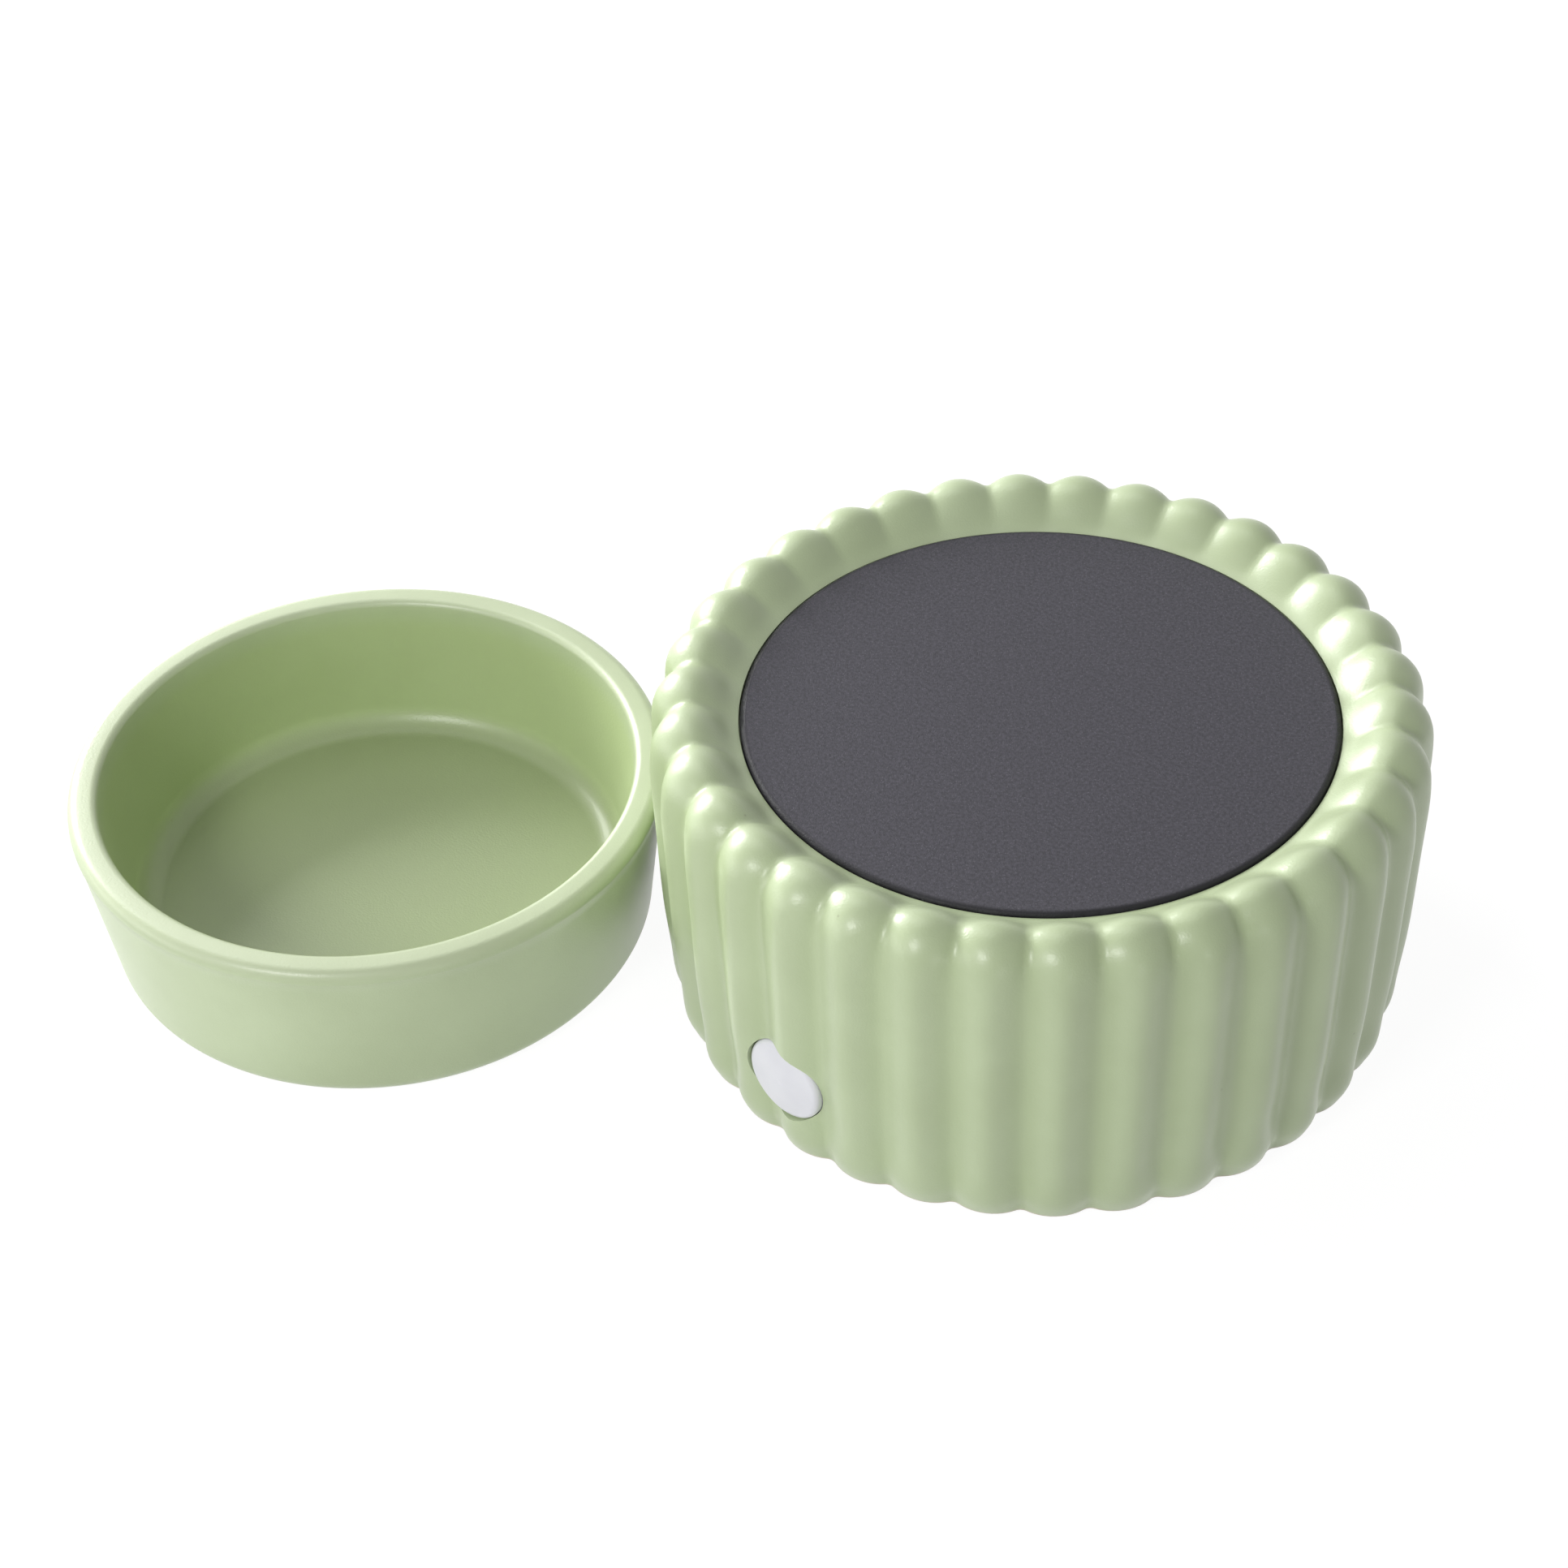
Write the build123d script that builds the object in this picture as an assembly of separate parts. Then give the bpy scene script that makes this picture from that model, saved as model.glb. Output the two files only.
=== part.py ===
from build123d import *
import math
import os

# Wax melt warmer: a fluted ceramic base with a round heat plate and a push button, and a
# separate smooth ceramic wax dish that stands beside it. All lengths are millimetres.
# Origin: centre of the base on the table. +Z is up, the push button faces -Y.

# Fluted ceramic base
LOBES = 34
CREST_R = 65.6
FOOT_LIFT = 0.8
FOOT_INSET = 3.5
FLUTE_DEPTH = 2.0
VALLEY_FILLET = 1.7
FLUTE_TURN_DEG = 2.0
RIM_INSET = 6.85
RIM_SLOPE = 8.4
RIM_RISE = 8.4
SECTIONS = 16
WALL_T = 8.4
CAVITY_TAPER = 4.5
CAVITY_TAPER_H = 5.5
FOOT_REBATE = 1.9

# Heat plate, its seat and its seal
PLATE_T = 2.0
PLATE_SUNK = 4.9
PLATE_PROUD = 0.6
PLATE_GAP = 0.25
PLATE_EDGE_ROUND = 0.9
PLATE_UNDER_ROUND = 0.4
GASKET_T = 0.8
GASKET_WIDTH = 6.5
GASKET_INSET = 1.0
SEAT_T = 4.5
SEAT_LEDGE = 10.1

# Heater pack under the plate
MICA_T = 0.4
HEATER_T = 0.8
CLAMP_T = 1.0
PACK_GAP = 2.0
HEATER_INSET = 1.0
STUD_EDGE = 5.0
STUD_ANGLES_DEG = (90.0, 210.0, 330.0)
STUD_R = 1.5
STUD_HOLE_R = 1.8
THREAD_GAP = 0.05
STUD_LENGTH = 13.0
NUT_FLATS = 5.5
NUT_T = 3.0
LEAD_HOLE_R = 5.0
LEAD_CIRCLE_R = 18.0
LEAD_ANGLE_DEG = 290.0

# Thermostat in the middle of the pack
THERMOSTAT_CAP_R = 8.5
THERMOSTAT_CAP_T = 3.0
THERMOSTAT_BODY_R = 7.9
THERMOSTAT_BODY_T = 8.0
BRACKET_T = 1.0
BRACKET_ARM = 9.0
BRACKET_GAP = 0.15
TAB_WIDTH = 6.3
TAB_T = 0.8
TAB_LENGTH = 4.5
TAB_SPREAD = 4.0

# Thermal fuse and its clip
FUSE_R = 2.0
FUSE_LENGTH = 11.0
FUSE_CIRCLE_R = 19.0
FUSE_ANGLE_DEG = 150.0
FUSE_PIN_R = 0.5
FUSE_PIN = 5.0
FUSE_HOLE_R = 2.0
FUSE_LEAD_RUN = 4.0
CLIP_T = 0.5
CLIP_WIDTH = 5.0
CLIP_GAP = 0.05
CLIP_TAB = 7.0
CLIP_HEAD_R = 2.4
CLIP_HEAD_T = 1.4
CLIP_SCREW_R = 1.2

# Standoffs and heat shield
STANDOFF_FLATS = 5.5
STANDOFF_BORE = 8.0
SHIELD_DROP = 14.2
SHIELD_OVER_RELAY = 6.1
SHIELD_T = 0.8
SHIELD_GAP = 6.5
SHIELD_LIP = 5.0
STUB_LENGTH = 6.0

# Bottom cover
COVER_T = 2.6
COVER_GAP = 0.4
COVER_RIB_T = 1.6
COVER_RIB_H = 2.0
COVER_RIB_GAP = 0.4
BOSS_R = 4.6
BOSS_H = 3.0
HEAD_R = 2.8
HEAD_T = 1.8
HEAD_GAP = 0.5
HEAD_SUNK = 0.3
HEAD_SLOT = 0.8
COVER_SCREW_LENGTH = 9.5
VENT_WIDTH = 2.2
VENT_LENGTH = 16.0
VENT_PITCH = 5.0
VENTS_IN_ROW = 6
VENT_ROW_GAP = 20.0

# Rubber feet
PADS = 4
PAD_R = 4.6
PAD_SUNK = 1.0
PAD_INSET = 11.1
PAD_GAP = 0.1
PAD_ROUND = 0.5

# Control board and what stands on it
BOARD_X = 40.0
BOARD_Y = 44.0
BOARD_T = 1.6
BOARD_STUD_GAP = 6.0
BOARD_EDGE = 3.0
POST_R = 2.6
POST_H = 8.0
POST_BORE_R = 1.0
SMALL_SCREW_R = 0.95
SMALL_HOLE_R = 1.3
SMALL_HEAD_R = 2.1
SMALL_HEAD_T = 1.4
SMALL_SLOT = 0.6
SMALL_SLOT_DEPTH = 0.7
BOARD_SCREW_LENGTH = 6.5
PART_SPACING = 1.0
CORNER_ROUND = 0.5
RELAY_SIZE = (18.5, 15.0, 15.0)
FILM_CAP_SIZE = (7.5, 17.0, 13.0)
CAN_R = 4.0
CAN_H = 12.0
CAN_GROOVE = 0.3
CAN_GROOVE_WIDTH = 0.8
CAN_GROOVE_UP = 1.5
BOARD_FUSE_R = 4.2
BOARD_FUSE_H = 8.0
TERMINAL_SIZE = (10.0, 8.0, 10.0)
TERMINAL_PITCH = 5.0
TERMINAL_SCREW_R = 1.6
TERMINAL_SCREW_SUNK = 1.0
HEADER_SIZE = (8.0, 5.0, 6.0)

# Push button and switch
BUTTON_Z = 17.1
BUTTON_SUNK = 1.75
BUTTON_R = 7.7
BUTTON_CROWN = 0.5
BUTTON_EDGE_ROUND = 1.0
BUTTON_GAP = 0.4
BUTTON_WALL = 1.3
BUTTON_SKIRT = 8.6
BUTTON_TRAVEL = 1.2
STEM_R = 2.0
STEM_GAP = 0.08
STEM_TAIL = 1.2
GUIDE_GAP = 5.0
GUIDE_T = 2.0
GUIDE_TUBE = 5.4
GUIDE_TUBE_WALL = 1.6
GUIDE_WIDTH = 26.0
GUIDE_ABOVE = 10.0
GUIDE_FOOT = 8.0
GUIDE_FOOT_T = 2.0
GUIDE_SCREW_X = 9.5
GUIDE_BOSS_H = 2.4
GUIDE_BOSS_R = 3.4
SPRING_R = 4.9
SPRING_WIRE = 0.6
CLIP_RING_R = 3.6
CLIP_RING_T = 0.6
CLIP_RING_GAP = 0.1
PLUNGER_R = 1.5
PLUNGER_GAP = 0.1
PLUNGER_OUT = 1.7
PLUNGER_IN = 3.0
PLUNGER_BORE_GAP = 0.1
SWITCH_SIZE = 8.0
SWITCH_DEPTH = 6.5
SWITCH_BOARD_X = 22.0
SWITCH_BOARD_Z = 14.0
SWITCH_BOARD_T = 1.6
SWITCH_POST_R = 2.2
SWITCH_POST_X = 8.4
SWITCH_SCREW_LENGTH = 6.0

# Cord gland at the back
GLAND_Z = 14.0
GLAND_SUNK = 3.5
GLAND_HOLE_R = 5.2
GLAND_BORE_R = 3.1
GLAND_FIT = 0.1
GLAND_COLLAR_R = 6.6
GLAND_COLLAR_T = 1.8
GLAND_ROUND = 0.6
GLAND_BARB_R = 6.2
GLAND_BARB_T = 1.5
GLAND_BARB_GAP = 0.4
GLAND_TAIL = 3.5
GLAND_SPOT_GAP = 0.5

# Inner wiring
LEAD_R = 0.9
LEAD_SPREAD = 2.5
LEAD_BEND_R = 3.0
LEAD_RUN_SHARE = 0.45
LEAD_BEND_ABOVE = 7.2
LEAD_BEND_BELOW = 3.2
JUMPER_R = 0.7
JUMPER_BEND_R = 2.0
JUMPER_TIGHT_R = 1.2
JUMPER_RUN = 3.0
JUMPER_TAB_UP = 2.2
SWITCH_LEAD_R = 0.6
SWITCH_LEAD_PITCH = 1.5
SWITCH_LEAD_BEND_R = 2.6
SWITCH_LEAD_BEND_SHARES = (0.35, 0.65)

# Wax dish
DISH_RIM_R = 52.8
DISH_HEIGHT = 33.0
DISH_LIP_OUTER_ROUND = 2.0
DISH_LIP_INNER_ROUND = 1.4
DISH_LIP_FLAT = 2.0
DISH_LIP_SKIRT = 0.6
DISH_LIP_STEP = 0.25
DISH_OUTER_LEAN_DEG = 7.6
DISH_INNER_LEAN_DEG = 8.0
DISH_HEEL_ROUND = 3.8
DISH_FLOOR_T = 6.4
DISH_FLOOR_ROUND = 5.0
DISH_APART = 0.1
DISH_BEARING_DEG = 215.4

# Tools that cut reach this much past the surface they cut
OVERRUN = 1.0

# Levels and places that follow from the sizes above
cover_top = FOOT_LIFT + COVER_T
boss_top = cover_top + BOSS_H
board_under = cover_top + POST_H
board_top = board_under + BOARD_T
shield_under = board_top + RELAY_SIZE[2] + SHIELD_OVER_RELAY
shield_top = shield_under + SHIELD_T
bracket_under = shield_top + SHIELD_DROP
bracket_top = bracket_under + BRACKET_T
clamp_under = bracket_top + NUT_T
clamp_top = clamp_under + CLAMP_T
heater_under = clamp_top + MICA_T
heater_top = heater_under + HEATER_T
plate_under = heater_top + MICA_T
plate_top = plate_under + PLATE_T
base_height = plate_top + PLATE_SUNK
recess_edge = plate_top - PLATE_PROUD
seat_top = plate_under - GASKET_T
seat_under = seat_top - SEAT_T
rim_top_r = CREST_R - RIM_INSET
recess_r = rim_top_r - RIM_SLOPE
plate_r = recess_r - PLATE_GAP
seat_open_r = plate_r - SEAT_LEDGE
pack_r = seat_open_r - PACK_GAP
stud_circle_r = pack_r - HEATER_INSET - STUD_EDGE
board_mid_y = stud_circle_r - BOARD_STUD_GAP - BOARD_Y / 2
cavity_r = CREST_R - WALL_T
rebate_r = cavity_r + FOOT_REBATE
pad_circle_r = rebate_r - PAD_INSET
shield_r = cavity_r - SHIELD_GAP
gland_seat = CREST_R - GLAND_SUNK
button_face = CREST_R - BUTTON_SUNK
button_hole_r = BUTTON_R + BUTTON_GAP
guide_face = cavity_r - GUIDE_GAP
guide_back = guide_face - GUIDE_T
guide_foot_under = cover_top + GUIDE_BOSS_H
stem_end = guide_back - CLIP_RING_GAP - CLIP_RING_T - STEM_TAIL
plunger_tip = stem_end - PLUNGER_GAP
switch_front = plunger_tip - PLUNGER_OUT
switch_board_front = switch_front - SWITCH_DEPTH
switch_board_back = switch_board_front - SWITCH_BOARD_T

STAND = (Align.CENTER, Align.CENTER, Align.MIN)


def polar(radius, angle_deg):
    angle = math.radians(angle_deg)
    return radius * math.cos(angle), radius * math.sin(angle)


def disc(radius, bottom, top, x=0.0, y=0.0):
    return Pos(x, y, bottom) * Cylinder(radius, top - bottom, align=STAND)


def drill(radius, bottom, top, x=0.0, y=0.0):
    return disc(radius, bottom - OVERRUN, top + OVERRUN, x, y)


def ring(outer, inner, bottom, top, x=0.0, y=0.0):
    return disc(outer, bottom, top, x, y) - drill(inner, bottom, top, x, y)


def hexagon(flats, bottom, top, x=0.0, y=0.0):
    outline = RegularPolygon(flats / 2, 6, major_radius=False)
    return Pos(x, y, bottom) * extrude(outline, top - bottom)


def block(size_x, size_y, bottom, top, x=0.0, y=0.0):
    return Pos(x, y, bottom) * Box(size_x, size_y, top - bottom, align=STAND)


def rod_y(radius, start, end, x, z):
    """Round bar along Y between the two y values."""
    bar = Cylinder(radius, abs(end - start), align=STAND)
    return Pos(x, max(start, end), z) * Rot(X=90) * bar


def revolved(points):
    """Solid of revolution about Z of a closed outline of (radius, height) points."""
    outline = Polyline(*[(r, 0.0, z) for r, z in points], close=True)
    return revolve(make_face(outline), Axis.Z)


def group(shapes):
    """Several equal pieces of one kind under one name."""
    return Compound(children=[solid for shape in shapes for solid in shape.solids()])


def round_corners(body, radius=CORNER_ROUND):
    return fillet(body.edges().filter_by(Axis.Z), radius)


def slotted_head(radius, height, bottom, x, y):
    """Small pan head that stands on the level bottom, with a straight driver slot."""
    top = bottom + height
    head = disc(radius, bottom, top, x, y)
    return head - block(2 * radius, SMALL_SLOT, top - SMALL_SLOT_DEPTH, top + OVERRUN, x, y)


def stud_places():
    return [polar(stud_circle_r, angle) for angle in STUD_ANGLES_DEG]


# Ceramic base. The outline is lofted through fluted sections that follow the crest line.
# Wall table: share of the height up to the shoulder, share of FOOT_INSET, share of the flute.
WALL_SHARES = (
    (0.0, 1.0, 0.7), (0.02, 0.86, 0.8), (0.06, 0.63, 0.85), (0.16, 0.454, 0.95),
    (0.34, 0.239, 1.0), (0.58, 0.096, 1.0), (0.82, 0.0, 1.0),
)
# Outer half of the rim: angle from the shoulder up to the top line, share of the flute.
RIM_OUTER_SHARES = ((0.0, 1.0), (26.0, 0.97), (50.0, 0.92), (71.0, 0.82), (90.0, 0.68))
# Inner half: share of the way in to the recess, share of the way down, share of the flute.
# Its last line lies just past the edge of the recess, which then cuts a clean edge.
RIM_INNER_SHARES = (
    (0.2, 0.063, 0.55), (0.4, 0.243, 0.4), (0.62, 0.54, 0.2), (0.82, 0.832, 0.07), (1.02, 1.01, 0.0),
)


def crest_line():
    """Crest of the flutes from the foot to the recess, with the flute share as its Y value."""
    shoulder = base_height - RIM_RISE
    points = []
    for up, inset, flute in WALL_SHARES:
        points.append((CREST_R - FOOT_INSET * inset, flute, FOOT_LIFT + (shoulder - FOOT_LIFT) * up))
    for angle, flute in RIM_OUTER_SHARES:
        out, up = polar(1.0, angle)
        points.append((rim_top_r + (CREST_R - rim_top_r) * out, flute, shoulder + RIM_RISE * up))
    for inward, down, flute in RIM_INNER_SHARES:
        r = rim_top_r - (rim_top_r - recess_r) * inward
        points.append((r, flute, base_height - (base_height - recess_edge) * down))
    return Spline(*points)


def flute_turning_points():
    """Angle and inset at which the broad lobe arc meets the tight valley arc."""
    half_pitch = math.pi / LOBES
    valley_centre = CREST_R - FLUTE_DEPTH + VALLEY_FILLET
    along = valley_centre * math.cos(half_pitch)
    rise = CREST_R ** 2 + valley_centre ** 2 - 2 * CREST_R * along - VALLEY_FILLET ** 2
    lobe_r = rise / (2 * (CREST_R - along + VALLEY_FILLET))
    lobe_centre = CREST_R - lobe_r
    to_x = along - lobe_centre
    to_y = valley_centre * math.sin(half_pitch)
    reach = lobe_r / math.hypot(to_x, to_y)
    touch_x = lobe_centre + to_x * reach
    touch_y = to_y * reach
    return math.atan2(touch_y, touch_x), CREST_R - math.hypot(touch_x, touch_y)


def base_section(radius, height, tilt, flute):
    """Closed fluted outline; the flutes sink inward along the tilted surface normal."""
    touch_angle, touch_inset = flute_turning_points()
    half_pitch = math.pi / LOBES
    front = math.radians(FLUTE_TURN_DEG - 90)

    def place(angle, inset):
        sunk = inset * flute
        r = radius - sunk * math.cos(tilt)
        return (r * math.cos(angle), r * math.sin(angle), height - sunk * math.sin(tilt))

    edges = []
    for lobe in range(LOBES):
        crest = front + 2 * half_pitch * lobe
        left = place(crest - touch_angle, touch_inset)
        right = place(crest + touch_angle, touch_inset)
        onward = place(crest + 2 * half_pitch - touch_angle, touch_inset)
        edges.append(Edge.make_three_point_arc(left, place(crest, 0.0), right))
        edges.append(Edge.make_three_point_arc(right, place(crest + half_pitch, FLUTE_DEPTH), onward))
    return Wire(edges)


def base_outside():
    line = crest_line()
    sections = []
    for index in range(SECTIONS):
        share = index / (SECTIONS - 1)
        point, along = line @ share, line % share
        tilt = math.atan2(-along.X, along.Z) if index else 0.0
        sections.append(base_section(point.X, point.Z, tilt, point.Y if share < 1 else 0.0))
    return Solid.make_loft(sections, ruled=False)


def base_inside():
    """All that is hollow: rebate for the cover, cavity, opening of the seat, plate recess."""
    return revolved([
        (0.0, -OVERRUN), (rebate_r, -OVERRUN), (rebate_r, cover_top), (cavity_r, cover_top),
        (cavity_r, seat_under - CAVITY_TAPER_H), (cavity_r - CAVITY_TAPER, seat_under),
        (seat_open_r, seat_under), (seat_open_r, seat_top), (recess_r, seat_top),
        (recess_r, base_height + OVERRUN), (0.0, base_height + OVERRUN),
    ])


def make_ceramic_base():
    body = base_outside() - base_inside()
    body -= rod_y(button_hole_r, -CREST_R - OVERRUN, -cavity_r + button_hole_r, 0.0, BUTTON_Z)
    body -= rod_y(GLAND_HOLE_R, cavity_r - GLAND_HOLE_R, CREST_R + OVERRUN, 0.0, GLAND_Z)
    spot_r = GLAND_COLLAR_R + GLAND_SPOT_GAP
    return body - rod_y(spot_r, gland_seat, CREST_R + OVERRUN, 0.0, GLAND_Z)


# Heat plate with its studs and its seal
def make_heat_plate():
    plate = disc(plate_r, plate_under, plate_top)
    upper = plate.edges().filter_by(GeomType.CIRCLE).sort_by(Axis.Z)[-1]
    plate = fillet(upper, PLATE_EDGE_ROUND)
    lower = plate.edges().filter_by(GeomType.CIRCLE).sort_by(Axis.Z)[0]
    return fillet(lower, PLATE_UNDER_ROUND)


def make_plate_studs():
    return group([disc(STUD_R, plate_under - STUD_LENGTH, plate_under, x, y) for x, y in stud_places()])


def make_plate_gasket():
    outer = plate_r - GASKET_INSET
    return ring(outer, outer - GASKET_WIDTH, seat_top, plate_under)


# Heater pack. The heater lies between two mica sheets on a clamp plate.
def lead_place():
    return polar(LEAD_CIRCLE_R, LEAD_ANGLE_DEG)


def fuse_place(along=0.0, inward=0.0):
    """Point beside the thermal fuse, measured along it and towards the middle of the base."""
    x, y = polar(FUSE_CIRCLE_R - inward, FUSE_ANGLE_DEG)
    along_x, along_y = polar(along, FUSE_ANGLE_DEG + 90)
    return x + along_x, y + along_y


def fuse_hole_place():
    return fuse_place(-FUSE_LENGTH / 2 - FUSE_PIN - FUSE_LEAD_RUN)


def clip_screw_place():
    return fuse_place(inward=FUSE_R + CLIP_GAP + CLIP_T + CLIP_TAB / 2)


def pack_layer(radius, bottom, top):
    layer = disc(radius, bottom, top)
    for x, y in stud_places():
        layer -= drill(STUD_HOLE_R, bottom, top, x, y)
    return layer


def with_lead_holes(layer, bottom, top):
    layer -= drill(LEAD_HOLE_R, bottom, top, *lead_place())
    return layer - drill(FUSE_HOLE_R, bottom, top, *fuse_hole_place())


def make_upper_mica():
    return pack_layer(pack_r, heater_top, plate_under)


def make_heater_disc():
    return pack_layer(pack_r - HEATER_INSET, heater_under, heater_top)


def make_lower_mica():
    return with_lead_holes(pack_layer(pack_r, clamp_top, heater_under), clamp_top, heater_under)


def make_clamp_plate():
    plate = with_lead_holes(pack_layer(pack_r, clamp_under, clamp_top), clamp_under, clamp_top)
    return plate - drill(CLIP_SCREW_R + THREAD_GAP, clamp_under, clamp_top, *clip_screw_place())


def make_stud_nuts():
    nuts = []
    for x, y in stud_places():
        nut = hexagon(NUT_FLATS, bracket_top, clamp_under, x, y)
        nuts.append(nut - drill(STUD_R + THREAD_GAP, bracket_top, clamp_under, x, y))
    return group(nuts)


# Thermostat and the bracket that presses it against the clamp plate
def make_thermostat():
    cap_under = clamp_under - THERMOSTAT_CAP_T
    body_under = cap_under - THERMOSTAT_BODY_T
    body = disc(THERMOSTAT_CAP_R, cap_under, clamp_under)
    body += disc(THERMOSTAT_BODY_R, body_under, cap_under)
    for side in (-1, 1):
        body += block(TAB_T, TAB_WIDTH, body_under - TAB_LENGTH, body_under, side * TAB_SPREAD)
    return body


def make_thermostat_bracket():
    plate = disc(THERMOSTAT_CAP_R + BRACKET_ARM / 2, bracket_under, bracket_top)
    for angle, (x, y) in zip(STUD_ANGLES_DEG, stud_places()):
        arm = block(stud_circle_r, BRACKET_ARM, bracket_under, bracket_top, stud_circle_r / 2)
        plate += Rot(Z=angle) * arm
        plate += disc(BRACKET_ARM / 2, bracket_under, bracket_top, x, y)
    for x, y in stud_places():
        plate -= drill(STUD_HOLE_R, bracket_under, bracket_top, x, y)
    return plate - drill(THERMOSTAT_BODY_R + BRACKET_GAP, bracket_under, bracket_top)


# Thermal fuse in its clip under the clamp plate
def at_fuse(shape):
    """Turns a shape built along X and moves it to the fuse; local +Y then points inward."""
    x, y = fuse_place()
    return Pos(x, y, clamp_under - CLIP_GAP - FUSE_R) * Rot(Z=FUSE_ANGLE_DEG + 90) * shape


def make_thermal_fuse():
    body = Rot(Y=90) * Cylinder(FUSE_R, FUSE_LENGTH)
    return at_fuse(body + Rot(Y=90) * Cylinder(FUSE_PIN_R, FUSE_LENGTH + 2 * FUSE_PIN))


def make_fuse_clip():
    inner = FUSE_R + CLIP_GAP
    outer = inner + CLIP_T
    loop = Rot(Y=90) * (Cylinder(outer, CLIP_WIDTH) - Cylinder(inner, CLIP_WIDTH + OVERRUN))
    loop -= Pos(0.0, 0.0, outer) * Box(CLIP_WIDTH + OVERRUN, 4 * outer, 2 * outer)
    legs = Pos(0.0, 0.0, inner / 2) * Box(CLIP_WIDTH, 2 * outer, inner)
    legs -= Pos(0.0, 0.0, inner / 2) * Box(CLIP_WIDTH + OVERRUN, 2 * inner, inner + OVERRUN)
    tab_y = outer + CLIP_TAB / 2 - CLIP_T / 2
    tab = Pos(0.0, tab_y, inner - CLIP_T / 2) * Box(CLIP_WIDTH, CLIP_TAB + CLIP_T, CLIP_T)
    clip = at_fuse(loop + legs + tab)
    return clip - drill(CLIP_SCREW_R + THREAD_GAP, clamp_under - FUSE_R, clamp_under, *clip_screw_place())


def make_clip_screw():
    x, y = clip_screw_place()
    seat = clamp_under - CLIP_T
    head = disc(CLIP_HEAD_R, seat - CLIP_HEAD_T, seat, x, y)
    return head + disc(CLIP_SCREW_R, seat, clamp_under + CLAMP_T / 2, x, y)


# Standoffs that tie the plate, the shield and the cover together
def make_upper_standoffs():
    posts = []
    for x, y in stud_places():
        post = hexagon(STANDOFF_FLATS, shield_top, bracket_under, x, y)
        bore_end = bracket_under - STANDOFF_BORE
        post -= disc(STUD_R + THREAD_GAP, bore_end, bracket_under + OVERRUN, x, y)
        posts.append(post + disc(STUD_R, shield_under - STUB_LENGTH, shield_top, x, y))
    return group(posts)


def make_heat_shield():
    shield = disc(shield_r, shield_under, shield_top)
    shield += ring(shield_r, shield_r - SHIELD_T, shield_under - SHIELD_LIP, shield_under)
    for x, y in stud_places():
        shield -= drill(STUD_HOLE_R, shield_under, shield_top, x, y)
    return shield - drill(LEAD_HOLE_R, shield_under, shield_top, *lead_place())


def make_lower_standoffs():
    posts = []
    bore_r = STUD_R + THREAD_GAP
    for x, y in stud_places():
        post = hexagon(STANDOFF_FLATS, boss_top, shield_under, x, y)
        post -= disc(bore_r, shield_under - STANDOFF_BORE, shield_under + OVERRUN, x, y)
        posts.append(post - disc(bore_r, boss_top - OVERRUN, boss_top + STANDOFF_BORE, x, y))
    return group(posts)


# Bottom cover with vents, bosses and rubber feet
def board_corners():
    x = BOARD_X / 2 - BOARD_EDGE
    y = BOARD_Y / 2 - BOARD_EDGE
    return [(side * x, board_mid_y + end * y) for side in (-1, 1) for end in (-1, 1)]


def guide_screw_places():
    return [(side * GUIDE_SCREW_X, -guide_back + GUIDE_FOOT / 2) for side in (-1, 1)]


def pad_places():
    return [polar(pad_circle_r, 360 / PADS * (index + 0.5)) for index in range(PADS)]


def make_bottom_cover():
    cover = disc(rebate_r - COVER_GAP, FOOT_LIFT, cover_top)
    rib_r = cavity_r - COVER_RIB_GAP
    cover += ring(rib_r, rib_r - COVER_RIB_T, cover_top, cover_top + COVER_RIB_H)
    for x, y in stud_places():
        cover += disc(BOSS_R, cover_top, boss_top, x, y)
        cover -= drill(STUD_HOLE_R, FOOT_LIFT, boss_top, x, y)
        cover -= disc(HEAD_R + HEAD_GAP, FOOT_LIFT - OVERRUN, FOOT_LIFT + HEAD_SUNK + HEAD_T, x, y)
    for x, y in board_corners():
        cover += ring(POST_R, POST_BORE_R, cover_top, board_under, x, y)
    for x, y in guide_screw_places():
        cover += ring(GUIDE_BOSS_R, POST_BORE_R, cover_top, guide_foot_under, x, y)
    for x, y in pad_places():
        cover -= disc(PAD_R + PAD_GAP, FOOT_LIFT - OVERRUN, FOOT_LIFT + PAD_SUNK, x, y)
    slot = SlotOverall(VENT_LENGTH, VENT_WIDTH, rotation=90)
    vent = extrude(slot, COVER_T + 2 * OVERRUN)
    for index in range(VENTS_IN_ROW):
        x = (index - (VENTS_IN_ROW - 1) / 2) * VENT_PITCH
        for end in (-1, 1):
            cover -= Pos(x, board_mid_y + end * VENT_ROW_GAP / 2, FOOT_LIFT - OVERRUN) * vent
    return cover


def make_cover_screws():
    screws = []
    seat = FOOT_LIFT + HEAD_SUNK + HEAD_T
    for x, y in stud_places():
        head = disc(HEAD_R, seat - HEAD_T, seat, x, y)
        head -= block(2 * HEAD_R, HEAD_SLOT, seat - HEAD_T - OVERRUN, seat - HEAD_T + HEAD_SLOT, x, y)
        screws.append(head + disc(STUD_R, seat, seat + COVER_SCREW_LENGTH, x, y))
    return group(screws)


def make_rubber_feet():
    pads = []
    for x, y in pad_places():
        pad = disc(PAD_R, 0.0, FOOT_LIFT + PAD_SUNK, x, y)
        lower = pad.edges().filter_by(GeomType.CIRCLE).sort_by(Axis.Z)[0]
        pads.append(fillet(lower, PAD_ROUND))
    return group(pads)


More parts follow.
